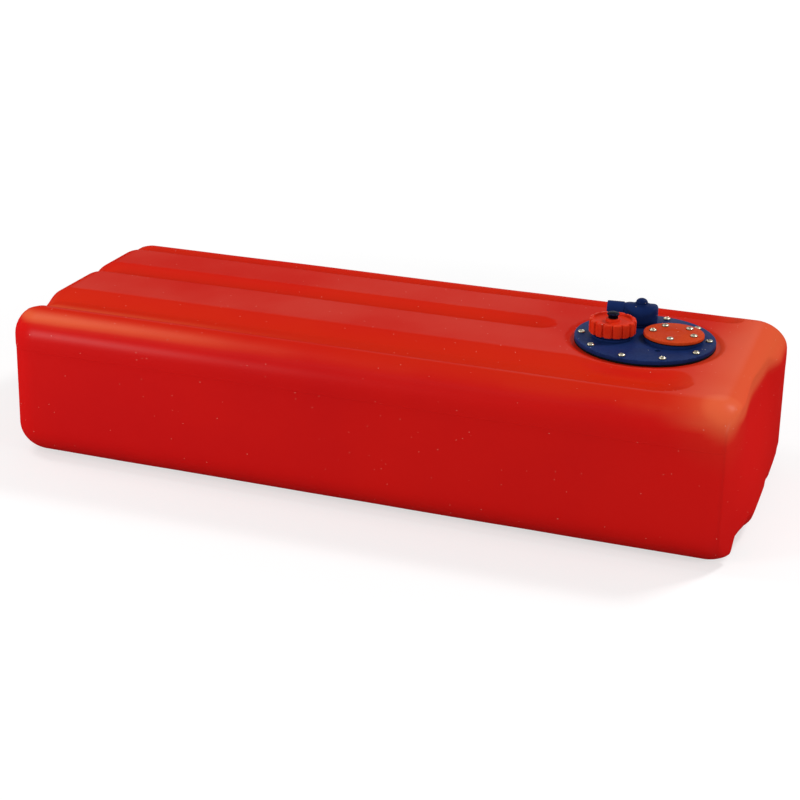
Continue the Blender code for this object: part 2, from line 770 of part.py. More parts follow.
def build():
    clear_scene()
    red = make_material("red_polyethylene", (0.62, 0.025, 0.012), 0.42)
    blue = make_material("blue_nylon", (0.018, 0.035, 0.16), 0.38)
    orange = make_material("orange_plastic", (0.85, 0.12, 0.025), 0.40)
    steel = make_material("stainless_steel", (0.66, 0.64, 0.58), 0.25, 1.0)
    rubber = make_material("black_rubber", (0.02, 0.02, 0.02), 0.70)
    zinc = make_material("zinc_plated_steel", (0.55, 0.55, 0.53), 0.35, 1.0)
    natural = make_material("natural_plastic", (0.75, 0.74, 0.70), 0.45)

    make_tank_shell(red)
    make_gasket(rubber)
    make_backing_ring(zinc)
    make_plate(blue)
    make_screws("flange_screw", flange_screw_places(), plate_top_z, flange_screw_length, steel)
    make_cap(orange)
    make_cap_seal(rubber)
    make_vent(blue, rubber)
    make_blanking_disc(orange, rubber)
    make_screws("sender_screw", sender_screw_places(), disc_top_z, sender_screw_length, steel)
    make_elbow(blue, rubber)
    make_pivot_bolt(blue)
    make_pickup(natural, natural)


build()
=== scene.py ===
# %% [markdown]
# # A fixed fuel tank
# The tank is a long, hollow, moulded plastic box. A round flange is screwed on near one end and
# carries a filler cap, a blanked opening and a swivel elbow. The solids that are loaded first are
# true to size and lie in one frame, in metres. Everything after them adds surface and finish.

# %% Load the solids
import json
import math

import bmesh
import bpy
import numpy as np
from mathutils import Matrix, Vector


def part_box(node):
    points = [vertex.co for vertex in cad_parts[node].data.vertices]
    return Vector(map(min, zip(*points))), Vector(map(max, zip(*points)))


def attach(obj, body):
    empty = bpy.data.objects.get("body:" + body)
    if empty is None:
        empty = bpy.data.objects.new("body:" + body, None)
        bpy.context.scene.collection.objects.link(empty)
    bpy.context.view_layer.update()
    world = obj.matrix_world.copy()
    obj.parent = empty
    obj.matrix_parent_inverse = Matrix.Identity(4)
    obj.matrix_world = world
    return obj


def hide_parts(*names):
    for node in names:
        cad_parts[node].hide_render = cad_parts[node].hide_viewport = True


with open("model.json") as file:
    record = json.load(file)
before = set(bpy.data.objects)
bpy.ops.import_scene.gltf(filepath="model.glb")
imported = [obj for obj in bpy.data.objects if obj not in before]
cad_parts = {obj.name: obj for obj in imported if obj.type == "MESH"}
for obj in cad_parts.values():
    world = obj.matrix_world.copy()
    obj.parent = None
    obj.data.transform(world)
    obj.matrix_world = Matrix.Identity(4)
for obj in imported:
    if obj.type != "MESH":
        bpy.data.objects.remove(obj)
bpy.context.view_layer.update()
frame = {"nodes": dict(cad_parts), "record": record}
nodes = frame["nodes"]

# %% [markdown]
# ## Camera
# The photograph was taken with a short telephoto lens from a little above the tank, in front of its
# right half. The camera is set from its turn, height angle and tilt about a point in the middle of
# the tank, because those are the numbers that a fit to the tank's edges gives.

# %% Camera
camera_turn = math.radians(19.133)
camera_height = math.radians(17.665)
camera_tilt = math.radians(1.119)
camera_distance = 2.352
camera_aside = 0.0012
camera_above = 0.1428
lens_mm, sensor_mm = 77.6, 36
frame_shift = -0.15
tank_middle = Vector((0, 0, 0.1055))


def place_camera():
    right = Vector((math.cos(camera_turn), math.sin(camera_turn), 0))
    back = Vector((math.sin(camera_turn) * math.cos(camera_height),
                   -math.cos(camera_turn) * math.cos(camera_height), math.sin(camera_height)))
    up = back.cross(right)
    tilted_right = math.cos(camera_tilt) * right + math.sin(camera_tilt) * up
    tilted_up = math.cos(camera_tilt) * up - math.sin(camera_tilt) * right
    data = bpy.data.cameras.new("camera")
    data.sensor_width = sensor_mm
    data.lens = lens_mm
    data.shift_y = frame_shift
    made = bpy.data.objects.new("camera", data)
    bpy.context.scene.collection.objects.link(made)
    turn = Matrix((tilted_right, tilted_up, back)).transposed().to_4x4()
    place = tank_middle + camera_aside * tilted_right + camera_above * tilted_up + camera_distance * back
    made.matrix_world = Matrix.Translation(place) @ turn
    bpy.context.scene.camera = made
    return made


camera = place_camera()
print("camera at", [round(v, 3) for v in camera.matrix_world.translation])

# %% [markdown]
# ## Writing node trees in code
# Geometry and shader trees are both long lists of small nodes. One helper adds a node, sets its
# options, and fills its inputs in order with either a value or another node's output. A second one
# opens a node group with named sockets, so that a shape or finish reads as a recipe with sizes.


# %% Helpers for node trees
def put(tree, kind, *plugs, out=0, **options):
    """Adds a node and returns one of its outputs; each plug is a socket, a value, or None to skip."""
    node = tree.nodes.new(kind)
    for key, value in options.items():
        setattr(node, key, value)
    live = [socket for socket in node.inputs if socket.enabled]
    for socket, plug in zip(live, plugs):
        if isinstance(plug, bpy.types.NodeSocket):
            tree.links.new(plug, socket)
        elif plug is not None:
            socket.default_value = plug
    return [socket for socket in node.outputs if socket.enabled][out]


def calc(tree, operation, *plugs):
    return put(tree, "ShaderNodeMath", *plugs, operation=operation)


def vector_calc(tree, operation, *plugs, out=0):
    return put(tree, "ShaderNodeVectorMath", *plugs, operation=operation, out=out)


def times(tree, first, *others):
    """Product of numbers, from left to right."""
    for other in others:
        first = calc(tree, "MULTIPLY", first, other)
    return first


def axes_of(tree, vector):
    """The three numbers of a vector."""
    return list(put(tree, "ShaderNodeSeparateXYZ", vector).node.outputs)


def same_on_all_axes(tree, number):
    return put(tree, "ShaderNodeCombineXYZ", number, number, number)


def smooth_step(tree, value, low, high, start=0.0, stop=1.0):
    return put(tree, "ShaderNodeMapRange", value, low, high, start, stop, interpolation_type="SMOOTHSTEP")


def new_group(name, kind, takes, gives):
    """Node group with named sockets; `takes` maps names to (socket type, first value)."""
    group = bpy.data.node_groups.new(name, kind)
    for label, (socket, value) in takes.items():
        made = group.interface.new_socket(label, in_out="INPUT", socket_type="NodeSocket" + socket)
        if value is not None:
            made.default_value = value
    for label, socket in gives.items():
        group.interface.new_socket(label, in_out="OUTPUT", socket_type="NodeSocket" + socket)
    entry = group.nodes.new("NodeGroupInput")
    leave = group.nodes.new("NodeGroupOutput")
    return group, {socket.name: socket for socket in entry.outputs if socket.name}, leave


def use_group(tree, group, plugs, out=0):
    """Places a node group in a tree; `plugs` maps its input names to sockets or values."""
    family = "GeometryNode" if tree.bl_idname == "GeometryNodeTree" else "ShaderNode"
    node = tree.nodes.new(family + "Group")
    node.node_tree = group
    for label, plug in plugs.items():
        if isinstance(plug, bpy.types.NodeSocket):
            tree.links.new(plug, node.inputs[label])
        else:
            node.inputs[label].default_value = plug
    return node.outputs[out]


def end_tree(group, geometry, material, leave):
    """Ends a geometry tree: instances made real, then their material."""
    real = put(group, "GeometryNodeRealizeInstances", geometry)
    group.links.new(put(group, "GeometryNodeSetMaterial", real, None, material), leave.inputs[0])
    return group


def bake_nodes(name, group, values, start=None):
    """Runs a geometry tree on an object and returns the result as a plain mesh object."""
    holder = bpy.data.objects.new(name + "_source", start or bpy.data.meshes.new(name + "_start"))
    bpy.context.scene.collection.objects.link(holder)
    modifier = holder.modifiers.new("shape", "NODES")
    modifier.node_group = group
    names = {item.name: item.identifier for item in group.interface.items_tree
             if item.item_type == "SOCKET" and item.in_out == "INPUT"}
    for label, value in values.items():
        modifier[names[label]] = value
    seen = bpy.context.evaluated_depsgraph_get()
    mesh = bpy.data.meshes.new_from_object(holder.evaluated_get(seen))
    mesh.name = name
    bpy.data.objects.remove(holder)
    made = bpy.data.objects.new(name, mesh)
    bpy.context.scene.collection.objects.link(made)
    print(name, "faces", len(mesh.polygons))
    return made


# %% [markdown]
# ## Finishes that several materials share
# Moulded plastic is never quite even: the colour drifts a little from place to place, the skin has a
# fine grain, and dust settles as tiny pale specks. Each of these is a node group with named inputs,
# built once, that gives out a mask or a normal. The shader stays in each material.


# %% Shared node groups
def build_drift():
    """Slow change over a surface, between 0 and 1."""
    group, give, leave = new_group("slow_drift", "ShaderNodeTree", {
        "Scale": ("Float", 6.0), "Detail": ("Float", 3.0)}, {"Mask": "Float"})
    place = put(group, "ShaderNodeTexCoord", out=3)
    noise = put(group, "ShaderNodeTexNoise", place, give["Scale"], give["Detail"])
    group.links.new(smooth_step(group, noise, 0.3, 0.7), leave.inputs[0])
    return group


def build_specks():
    """Tiny round specks, each of its own size, where most cells stay empty."""
    group, give, leave = new_group("specks", "ShaderNodeTree", {
        "Scale": ("Float", 120.0), "Size": ("Float", 0.08), "Share": ("Float", 0.1)}, {"Mask": "Float"})
    place = put(group, "ShaderNodeTexCoord", out=3)
    cells = group.nodes.new("ShaderNodeTexVoronoi")
    group.links.new(place, cells.inputs["Vector"])
    group.links.new(give["Scale"], cells.inputs["Scale"])
    pick = put(group, "ShaderNodeSeparateColor", cells.outputs["Color"])
    chosen = calc(group, "LESS_THAN", pick, give["Share"])
    near = calc(group, "LESS_THAN", cells.outputs["Distance"], give["Size"])
    group.links.new(times(group, chosen, near), leave.inputs[0])
    return group


def build_grain():
    """Fine pebbled skin of a moulding, as a normal."""
    group, give, leave = new_group("moulded_grain", "ShaderNodeTree", {
        "Scale": ("Float", 900.0), "Strength": ("Float", 0.2), "Depth": ("Float", 0.0001)},
        {"Normal": "Vector"})
    place = put(group, "ShaderNodeTexCoord", out=3)
    fine = put(group, "ShaderNodeTexNoise", place, give["Scale"], 2.0)
    bump = group.nodes.new("ShaderNodeBump")
    group.links.new(give["Strength"], bump.inputs["Strength"])
    group.links.new(give["Depth"], bump.inputs["Distance"])
    group.links.new(fine, bump.inputs["Height"])
    group.links.new(bump.outputs["Normal"], leave.inputs[0])
    return group


def build_wear_and_highlight():
    """Paler edges, as wear and as painted highlight: a share stored on the mesh, broken up by noise."""
    group, give, leave = new_group("rubbed_edges", "ShaderNodeTree", {
        "Scale": ("Float", 300.0), "Amount": ("Float", 0.5)}, {"Mask": "Float"})
    stored = put(group, "ShaderNodeAttribute", attribute_name="rub", out=2)
    noise = put(group, "ShaderNodeTexNoise", put(group, "ShaderNodeTexCoord", out=3), give["Scale"], 4.0)
    patchy = smooth_step(group, noise, 0.35, 0.62)
    mask = times(group, times(group, stored, patchy), give["Amount"])
    group.links.new(mask, leave.inputs[0])
    return group


def build_scuffs():
    """Faint fine scratches that mostly run one way."""
    group, give, leave = new_group("scuffs", "ShaderNodeTree", {
        "Scale": ("Float", 60.0), "Amount": ("Float", 0.3)}, {"Mask": "Float"})
    place = put(group, "ShaderNodeTexCoord", out=3)
    turned_place = put(group, "ShaderNodeVectorRotate", place, None, None, 0.6, rotation_type="Z_AXIS")
    drawn = vector_calc(group, "MULTIPLY", turned_place, (1.0, 16.0, 5.0))
    noise = put(group, "ShaderNodeTexNoise", drawn, give["Scale"], 2.0)
    mask = times(group, smooth_step(group, noise, 0.60, 0.72), give["Amount"])
    group.links.new(mask, leave.inputs[0])
    return group


drift, specks, grain = build_drift(), build_specks(), build_grain()
wear_and_highlight_group, scuffs = build_wear_and_highlight(), build_scuffs()
print("shared groups", [group.name for group in (drift, specks, grain, wear_and_highlight_group, scuffs)])


# %% Helper for materials
def new_material(name, **constants):
    """Empty material with one Principled shader; the constants go on the shader's own sockets."""
    made = bpy.data.materials.new(name)
    made.use_nodes = True
    tree = made.node_tree
    shader = tree.nodes["Principled BSDF"]
    for label, value in constants.items():
        shader.inputs[label.replace("_", " ")].default_value = value
    return made, tree, shader


def blend_colour(tree, mask, first, second):
    node = tree.nodes.new("ShaderNodeMix")
    node.data_type = "RGBA"
    tree.links.new(mask, node.inputs[0])
    for socket, colour in zip((node.inputs[6], node.inputs[7]), (first, second)):
        if isinstance(colour, bpy.types.NodeSocket):
            tree.links.new(colour, socket)
        else:
            socket.default_value = (*colour, 1)
    return node.outputs[2]


def add_mask(tree, value, mask, amount):
    return calc(tree, "MULTIPLY_ADD", mask, amount, value)


# %% [markdown]
# ## Red polyethylene
# The shell is moulded from powder that melts on the wall of a turning mould. It comes out with a
# satin skin, a faint orange peel, a parting line where the halves of the mould met, and specks. The
# top and the grooves are painted a more orange red as painted sheen. Edges, the right end and a band
# along the front edge are painted paler as painted highlight, with the edges partly as wear. Where
# those lie is stored on the mesh as shares. The satin shine is a thin, rough coat over the plain
# colour. The flat lands between the grooves catch a dull reflection, so they get more of it.


# %% Colour of the red polyethylene
parting_height = 0.155
red_dark, red_light = (0.60, 0.0042, 0.0044), (0.66, 0.0062, 0.0042)
# painted sheen: faces that look up get a more orange red, standing in for the light on the top
red_painted_sheen_on_top = (0.62, 0.0190, 0.0045)
# painted sheen: the top grooves get a lighter, more orange red, standing in for the light on their walls
red_painted_sheen_in_grooves = (0.66, 0.022, 0.0040)
# painted highlight: a paler orange on the right end, its front corner and a band along the front edge
red_painted_highlight = (0.78, 0.115, 0.042)
# painted highlight: the shell's upper rounded edges near the ends get a paler orange, broken up like wear
red_edge_highlight = (0.70, 0.105, 0.034)
dust_on_red = (0.78, 0.40, 0.33)


def red_colour(tree, slow, facing_up, sunk):
    """Base red, then painted sheen on the top and in the grooves, painted highlights, wear and dust."""
    painted_top_sheen = times(tree, smooth_step(tree, facing_up, 0.55, 0.98), smooth_step(tree, slow, -1.0, 1.0))
    # painted highlight, read from the share stored on the mesh
    painted_highlight = put(tree, "ShaderNodeAttribute", attribute_name="painted_highlight", out=2)
    painted_highlight = times(tree, painted_highlight, smooth_step(tree, slow, -1.0, 0.6))
    wear_and_highlight = use_group(tree, wear_and_highlight_group, {"Scale": 7.0, "Amount": 0.9})
    dust = use_group(tree, specks, {"Scale": 120.0, "Size": 0.055, "Share": 0.38})
    colour = blend_colour(tree, slow, red_dark, red_light)
    for mask, tone in ((painted_top_sheen, red_painted_sheen_on_top), (times(tree, sunk, 0.6), red_painted_sheen_in_grooves),
                       (painted_highlight, red_painted_highlight), (wear_and_highlight, red_edge_highlight), (dust, dust_on_red)):
        colour = blend_colour(tree, mask, colour, tone)
    return colour


# %% Surface of the red polyethylene
coat_everywhere, coat_on_lands = 0.020, 0.085


def orange_peel(tree):
    """Height of the orange peel, of slow waves and of the thin flash on the parting line."""
    place = put(tree, "ShaderNodeTexCoord", out=3)
    peel = put(tree, "ShaderNodeTexNoise", place, 160.0, 3.0)
    waves = put(tree, "ShaderNodeTexNoise", place, 14.0, 2.0)
    height = calc(tree, "MULTIPLY_ADD", waves, 4.0, peel)
    level = put(tree, "ShaderNodeSeparateXYZ", place, out=2)
    off_line = calc(tree, "ABSOLUTE", calc(tree, "SUBTRACT", level, parting_height))
    flash = smooth_step(tree, off_line, 0.0002, 0.0011, 1.6, 0.0)
    return calc(tree, "ADD", height, flash)


def red_polyethylene():
    made, tree, shader = new_material(
        "red_polyethylene", Specular_IOR_Level=0.0, Coat_IOR=3.6, Coat_Roughness=0.34)
    slow = use_group(tree, drift, {"Scale": 3.5, "Detail": 4.0})
    facing_up = put(tree, "ShaderNodeSeparateXYZ", put(tree, "ShaderNodeTexCoord", out=1), out=2)
    sunk = put(tree, "ShaderNodeAttribute", attribute_name="sunk", out=2)
    tree.links.new(red_colour(tree, slow, facing_up, sunk), shader.inputs["Base Color"])
    land = times(tree, smooth_step(tree, facing_up, 0.955, 0.998), smooth_step(
        tree, sunk, 0.0, 0.5, 1.0, 0.0), smooth_step(tree, slow, -0.6, 1.0))
    coat = calc(tree, "MULTIPLY_ADD", land, coat_on_lands, coat_everywhere)
    tree.links.new(coat, shader.inputs["Coat Weight"])
    scratched = use_group(tree, scuffs, {"Scale": 9.0, "Amount": 1.0})
    gloss = smooth_step(tree, slow, 0, 1, 0.38, 0.46)
    tree.links.new(add_mask(tree, gloss, scratched, 0.06), shader.inputs["Roughness"])
    bump = tree.nodes.new("ShaderNodeBump")
    bump.inputs["Strength"].default_value = 0.35
    bump.inputs["Distance"].default_value = 0.00035
    tree.links.new(orange_peel(tree), bump.inputs["Height"])
    tree.links.new(bump.outputs["Normal"], shader.inputs["Normal"])
    return made


red = red_polyethylene()
print("material", red.name)

# %% [markdown]
# ## Blue nylon, orange plastic, rubber and natural plastic
# The flange, the elbow and the vent knob are dark blue nylon, and the cap and the disc are an orange
# plastic. All are injection moulded, with a satin skin. Their edges are painted a little paler, partly
# as wear from hands and tools and partly as painted highlight, and that share is stored on each mesh,
# where the shape is known. The knob gets a near-black copy of the blue nylon as painted shade. A flat
# colour with one gloss would look like paint, so colour, gloss and grain all drift a little.


# %% Moulded plastics
def moulded_plastic(name, light, dark, wear_and_highlight, roughness, pattern_scale, specular, rub=0.5):
    made, tree, shader = new_material(name, Specular_IOR_Level=specular)
    slow = use_group(tree, drift, {"Scale": pattern_scale * 0.05, "Detail": 4.0})
    colour = blend_colour(tree, slow, dark, light)
    # edges get a paler colour: partly wear, partly painted highlight
    edge = use_group(tree, wear_and_highlight_group, {"Scale": pattern_scale * 0.6, "Amount": rub})
    colour = blend_colour(tree, edge, colour, wear_and_highlight)
    dust = use_group(tree, specks, {"Scale": pattern_scale * 0.45, "Size": 0.15, "Share": 0.02})
    tree.links.new(blend_colour(tree, dust, colour, (0.55, 0.5, 0.46)), shader.inputs["Base Color"])
    scratched = use_group(tree, scuffs, {"Scale": pattern_scale * 0.12, "Amount": 1.0})
    gloss = smooth_step(tree, slow, 0, 1, roughness - 0.04, roughness + 0.05)
    tree.links.new(add_mask(tree, gloss, scratched, 0.12), shader.inputs["Roughness"])
    fine = use_group(tree, grain, {"Scale": pattern_scale * 3, "Strength": 0.15, "Depth": 0.00006})
    tree.links.new(fine, shader.inputs["Normal"])
    return made


blue = moulded_plastic("blue_nylon", (0.0090, 0.024, 0.108), (0.0050, 0.015, 0.074), (0.030, 0.054, 0.17),
                       0.42, 600, 0.022)
# painted shade: a near-black copy of the blue nylon for the vent knob, with a lighter rim as painted
# highlight
blue_painted_shade = moulded_plastic("dark_blue_nylon", (0.0026, 0.0026, 0.0110), (0.0012, 0.0012, 0.0050),
                            (0.030, 0.034, 0.090), 0.34, 600, 0.022)
orange = moulded_plastic("orange_plastic", (0.58, 0.050, 0.007), (0.52, 0.036, 0.006), (0.70, 0.12, 0.05),
                         0.46, 600, 0.015)
cap_orange = moulded_plastic("cap_orange_plastic", (0.74, 0.032, 0.007), (0.64, 0.022, 0.006),
                             (0.80, 0.10, 0.04), 0.44, 600, 0.03)
black_rubber = moulded_plastic("black_rubber", (0.0060, 0.0055, 0.0055), (0.0030, 0.0030, 0.0030),
                               (0.02, 0.02, 0.02), 0.62, 900, 0.03)
natural = moulded_plastic("natural_plastic", (0.70, 0.68, 0.62), (0.62, 0.60, 0.54), (0.75, 0.73, 0.68),
                          0.42, 600, 0.3)
print("plastics", [finish.name for finish in (blue, orange, black_rubber, natural)])

# %% [markdown]
# ## Steel
# The screws are bright steel with a faint warm tone, and the ring inside the tank is zinc plated.
# A metal shows mostly what it reflects, so its look comes from small changes in gloss and from
# painted shade, dark and dull, in the screws' recesses and round the foot of their heads. That
# painted shade is a share stored on the mesh.


# %% Metals
def metal(name, light, dark, roughness):
    made, tree, shader = new_material(name)
    slow = use_group(tree, drift, {"Scale": 300.0, "Detail": 4.0})
    # painted shade: a stored share turns the screws' recesses and head feet near black and dull
    shade_share = put(tree, "ShaderNodeAttribute", attribute_name="grime", out=2)
    colour = blend_colour(tree, slow, dark, light)
    tree.links.new(blend_colour(tree, shade_share, colour, (0.012, 0.010, 0.008)), shader.inputs["Base Color"])
    tree.links.new(smooth_step(tree, shade_share, 0, 1, 1.0, 0.0), shader.inputs["Metallic"])
    scratched = use_group(tree, scuffs, {"Scale": 240.0, "Amount": 1.0})
    gloss = smooth_step(tree, slow, 0, 1, roughness - 0.05, roughness + 0.07)
    gloss = add_mask(tree, gloss, scratched, 0.1)
    tree.links.new(add_mask(tree, gloss, shade_share, 0.5), shader.inputs["Roughness"])
    fine = use_group(tree, grain, {"Scale": 2400.0, "Strength": 0.2, "Depth": 0.00003})
    tree.links.new(fine, shader.inputs["Normal"])
    return made


steel = metal("stainless_steel", (0.56, 0.51, 0.39), (0.34, 0.31, 0.23), 0.20)
zinc = metal("zinc_plated_steel", (0.58, 0.58, 0.56), (0.46, 0.46, 0.45), 0.36)
slot_finish = {"red_polyethylene": red, "blue_nylon": blue, "orange_plastic": orange,
               "black_rubber": black_rubber, "natural_plastic": natural, "stainless_steel": steel,
               "zinc_plated_steel": zinc}
print("finishes", sorted(slot_finish))

# %% [markdown]
# ## Tank shell
# The shell follows a rule: a box whose edges are rounded, with grooves sunk along its skin. So it is
# made by a geometry tree that starts from a finely divided box, pulls each point onto the rounded
# box, and then sinks it by the depth of the groove that it lies in. The grooves stiffen the flat
# walls. Those on top run out through the left end and those underneath through the right end.

# %% Sizes of the shell
shell_low, shell_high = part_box("tank_shell")
shell_sizes = {
    "Length": shell_high.x - shell_low.x,
    "Width": shell_high.y - shell_low.y,
    "Height": shell_high.z - shell_low.z,
    "Corner Radius": 0.048,
    "Edge Radius": 0.042,
    "Groove Depth": 0.011,
    "Seat Depth": 0.003,
    "Channel Depth": 0.023,
    "End Bow": 0.031,
    "Parting Height": parting_height,
    "Wall": 0.006,
}
flange_low, flange_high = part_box("flange_plate")
flange_centre = (flange_low + flange_high) / 2
seat_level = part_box("flange_gasket")[0].z
head_above_plate = 0.0029
plate_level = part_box("flange_screw_01")[1].z - head_above_plate
print("shell", {key: round(value, 4) for key, value in shell_sizes.items()})
print("flange centre", [round(v, 4) for v in flange_centre.xy], "plate top", round(plate_level, 4))


# %% One groove
def build_groove():
    """How deep a point lies in one groove, from 0 outside it to 1 on its floor."""
    group, give, leave = new_group("groove", "GeometryNodeTree", {
        "X": ("Float", 0.0), "Y": ("Float", 0.0), "Centre": ("Float", 0.0), "Width": ("Float", 0.05),
        "End": ("Float", 0.4), "Front Wall": ("Float", 0.01), "Back Wall": ("Float", 0.02)},
        {"Share": "Float"})
    half = times(group, give["Width"], 0.5)
    past = calc(group, "SUBTRACT", give["X"], calc(group, "SUBTRACT", give["End"], half))
    along = calc(group, "MAXIMUM", past, 0.0)
    across = calc(group, "SUBTRACT", give["Y"], give["Centre"])
    reach = vector_calc(group, "LENGTH", put(group, "ShaderNodeCombineXYZ", along, across), out=0)
    lost = calc(group, "SUBTRACT", reach, calc(group, "ABSOLUTE", across))
    inside = calc(group, "SUBTRACT", half, lost)
    front = put(group, "ShaderNodeMapRange", calc(group, "ADD", inside, across), 0.0, give["Front Wall"])
    back = put(group, "ShaderNodeMapRange", calc(group, "SUBTRACT", inside, across), 0.0, give["Back Wall"])
    group.links.new(calc(group, "MINIMUM", front, back), leave.inputs[0])
    return group


groove = build_groove()
print("group", groove.name)

# %% All the grooves of one side
groove_places = (
    {"Centre": -0.1125, "Width": 0.083, "End": 0.416, "Front Wall": 0.009, "Back Wall": 0.032},
    {"Centre": 0.035, "Width": 0.048, "End": 0.206, "Front Wall": 0.010, "Back Wall": 0.024},
    {"Centre": 0.146, "Width": 0.036, "End": 0.437, "Front Wall": 0.009, "Back Wall": 0.017},
)
underside_end = 0.400


def all_grooves(tree, x, y, end=None):
    deepest = None
    for sizes in groove_places:
        plugs = dict(sizes, X=x, Y=y)
        if end is not None:
            plugs["End"] = end
        share = use_group(tree, groove, plugs)
        deepest = share if deepest is None else calc(tree, "MAXIMUM", deepest, share)
    return deepest


# %% Distance from the flange
def from_flange_axis(tree, x, y):
    """Level distance from the flange's axis."""
    away = put(tree, "ShaderNodeCombineXYZ", calc(tree, "SUBTRACT", x, flange_centre.x),
               calc(tree, "SUBTRACT", y, flange_centre.y))
    return vector_calc(tree, "LENGTH", away, out=0)


# %% A plain box pulled onto a rounded one
def round_off(tree, give):
    """Each point of a plain box, centred on the origin, as it lies on the rounded box; its normal."""
    point = put(tree, "GeometryNodeInputPosition")
    size = put(tree, "ShaderNodeCombineXYZ", give["Length"], give["Width"], give["Height"])
    radii = put(tree, "ShaderNodeCombineXYZ", give["Corner Radius"], give["Corner Radius"],
                give["Edge Radius"])
    limit = vector_calc(tree, "SUBTRACT", vector_calc(tree, "MULTIPLY", size, (0.5, 0.5, 0.5)), radii)
    lowest = vector_calc(tree, "MULTIPLY", limit, (-1, -1, -1))
    core = vector_calc(tree, "MINIMUM", vector_calc(tree, "MAXIMUM", point, lowest), limit)
    off_core = vector_calc(tree, "SUBTRACT", point, core)
    normal = vector_calc(tree, "NORMALIZE", vector_calc(tree, "DIVIDE", off_core, radii))
    shrunk = vector_calc(tree, "SUBTRACT", radii, same_on_all_axes(tree, give["Inset"]))
    return vector_calc(tree, "ADD", core, vector_calc(tree, "MULTIPLY", normal, shrunk)), normal


# %% Grooves, seat, parting line and waves
grooves_stop = (0.104, 0.122)
seat_edge = (0.0960, 0.1035)
seat_surround = (0.1, 0.13)
deeper_underneath = (0.40, 0.47, 1.0, 1.6)
parting_blend = (-0.003, 0.001)
parting_step = 0.0007
wave_scale = 5.0
wave_depth = 0.0006


def sink(tree, give, skin, normal):
    """How deep each point sinks, and how much of that is a groove on top."""
    x, y, z = axes_of(tree, skin)
    tilt = axes_of(tree, normal)[2]
    above = calc(tree, "GREATER_THAN", tilt, 0.0)
    off_axis = from_flange_axis(tree, x, y)
    top = times(tree, all_grooves(tree, x, y), smooth_step(tree, off_axis, *grooves_stop))
    under = all_grooves(tree, times(tree, x, -1.0), y, underside_end)
    under = times(tree, under, smooth_step(tree, x, *deeper_underneath))
    share = put(tree, "ShaderNodeMix", above, under, top)
    flat_sides = smooth_step(tree, calc(tree, "ABSOLUTE", tilt), 0.0, 0.6)
    grooves = times(tree, share, give["Groove Depth"], flat_sides)
    seat = times(tree, smooth_step(tree, off_axis, *seat_edge, 1.0, 0.0), give["Seat Depth"], above)
    depth = calc(tree, "MAXIMUM", grooves, seat)

    upright = calc(tree, "SUBTRACT", 1.0, calc(tree, "ABSOLUTE", tilt))
    level = calc(tree, "ADD", z, times(tree, give["Height"], 0.5))
    off_line = calc(tree, "SUBTRACT", level, give["Parting Height"])
    below = smooth_step(tree, off_line, *parting_blend, parting_step, 0.0)
    depth = calc(tree, "ADD", depth, times(tree, below, upright))
    noise = put(tree, "ShaderNodeTexNoise", skin, wave_scale, 1.0)
    waves = smooth_step(tree, noise, 0.25, 0.75, 0.0, wave_depth)
    off_seat = smooth_step(tree, off_axis, *seat_surround)
    return calc(tree, "ADD", depth, times(tree, waves, off_seat)), times(tree, top, above)


# %% [markdown]
# ## The shell's right end
# The right end is not flat. Its upper half is hollow: the hollow starts gently from the front, is
# deepest behind the middle, and fades out downwards. The end is bowed too, with its front corner
# drawn back the most. Both are given as a distance behind the tank's full length, and a smooth
# minimum blends that wall into the rounded box.

# %% Hollow and bow of the right end
hollow_front = (-0.185, -0.030)
hollow_back = (0.040, 0.098)
hollow_floor = (-0.100, 0.060, 1.0, 0.62)
hollow_height = (-0.070, 0.092)
bow_front = (0.020, -0.1925, 0.0, 1.0)
bow_back = (0.030, 0.1925, 0.0, 0.57)
bow_power = 3.0
end_blend = 0.007


def behind_full_length(tree, give, y, z):
    """How far the right end's wall lies behind the tank's full length."""
    front = smooth_step(tree, y, *hollow_front)
    back = smooth_step(tree, y, *hollow_back, 1.0, 0.0)
    floor = put(tree, "ShaderNodeMapRange", y, *hollow_floor)
    upper_half = smooth_step(tree, z, *hollow_height)
    share = times(tree, times(tree, front, back), times(tree, floor, upper_half))
    hollow = times(tree, share, give["Channel Depth"])
    bows = [put(tree, "ShaderNodeMapRange", y, *reach) for reach in (bow_front, bow_back)]
    bow = calc(tree, "POWER", calc(tree, "MAXIMUM", *bows), bow_power)
    return calc(tree, "MULTIPLY_ADD", bow, give["End Bow"], hollow)


# %% [markdown]
# ## Where the red gets painted highlights
# The painted highlights follow the shape: rounded edges near the ends are paler, partly as wear and
# partly as painted highlight, and the right end, its front corner and a band along the front edge that
# fades towards the right get a painted highlight. The tree knows the shape, so it stores those shares
# on the mesh, and the red material reads them by name.

# %% Painted highlights on edges and places
edge_highlight_amount = 0.6
end_highlight_reach = (0.38, 0.475, 0.0, 0.78)
highlight_corner = (0.464, -0.160, 0.090)
corner_highlight_reach = (0.018, 0.048, 1.0, 0.0)
corner_halo = (0.030, 0.085, 0.08, 0.0)
trough_y = -0.128
trough_highlight_amount = 0.6
band_reach = (-0.48, 0.0, 0.85, 0.0)


def edge_highlight_share(tree, normal, x, upper):
    """Share of painted highlight on a rounded edge, stronger near the ends and on the upper side only."""
    largest = None
    for side in axes_of(tree, vector_calc(tree, "ABSOLUTE", normal)):
        largest = side if largest is None else calc(tree, "MAXIMUM", largest, side)
    edge = smooth_step(tree, calc(tree, "SUBTRACT", 1.0, largest), 0.05, 0.36)
    near_end = smooth_step(tree, calc(tree, "ABSOLUTE", x), 0.28, 0.46, 0.12, 1.0)
    return times(tree, times(tree, edge, near_end), times(tree, upper, edge_highlight_amount))


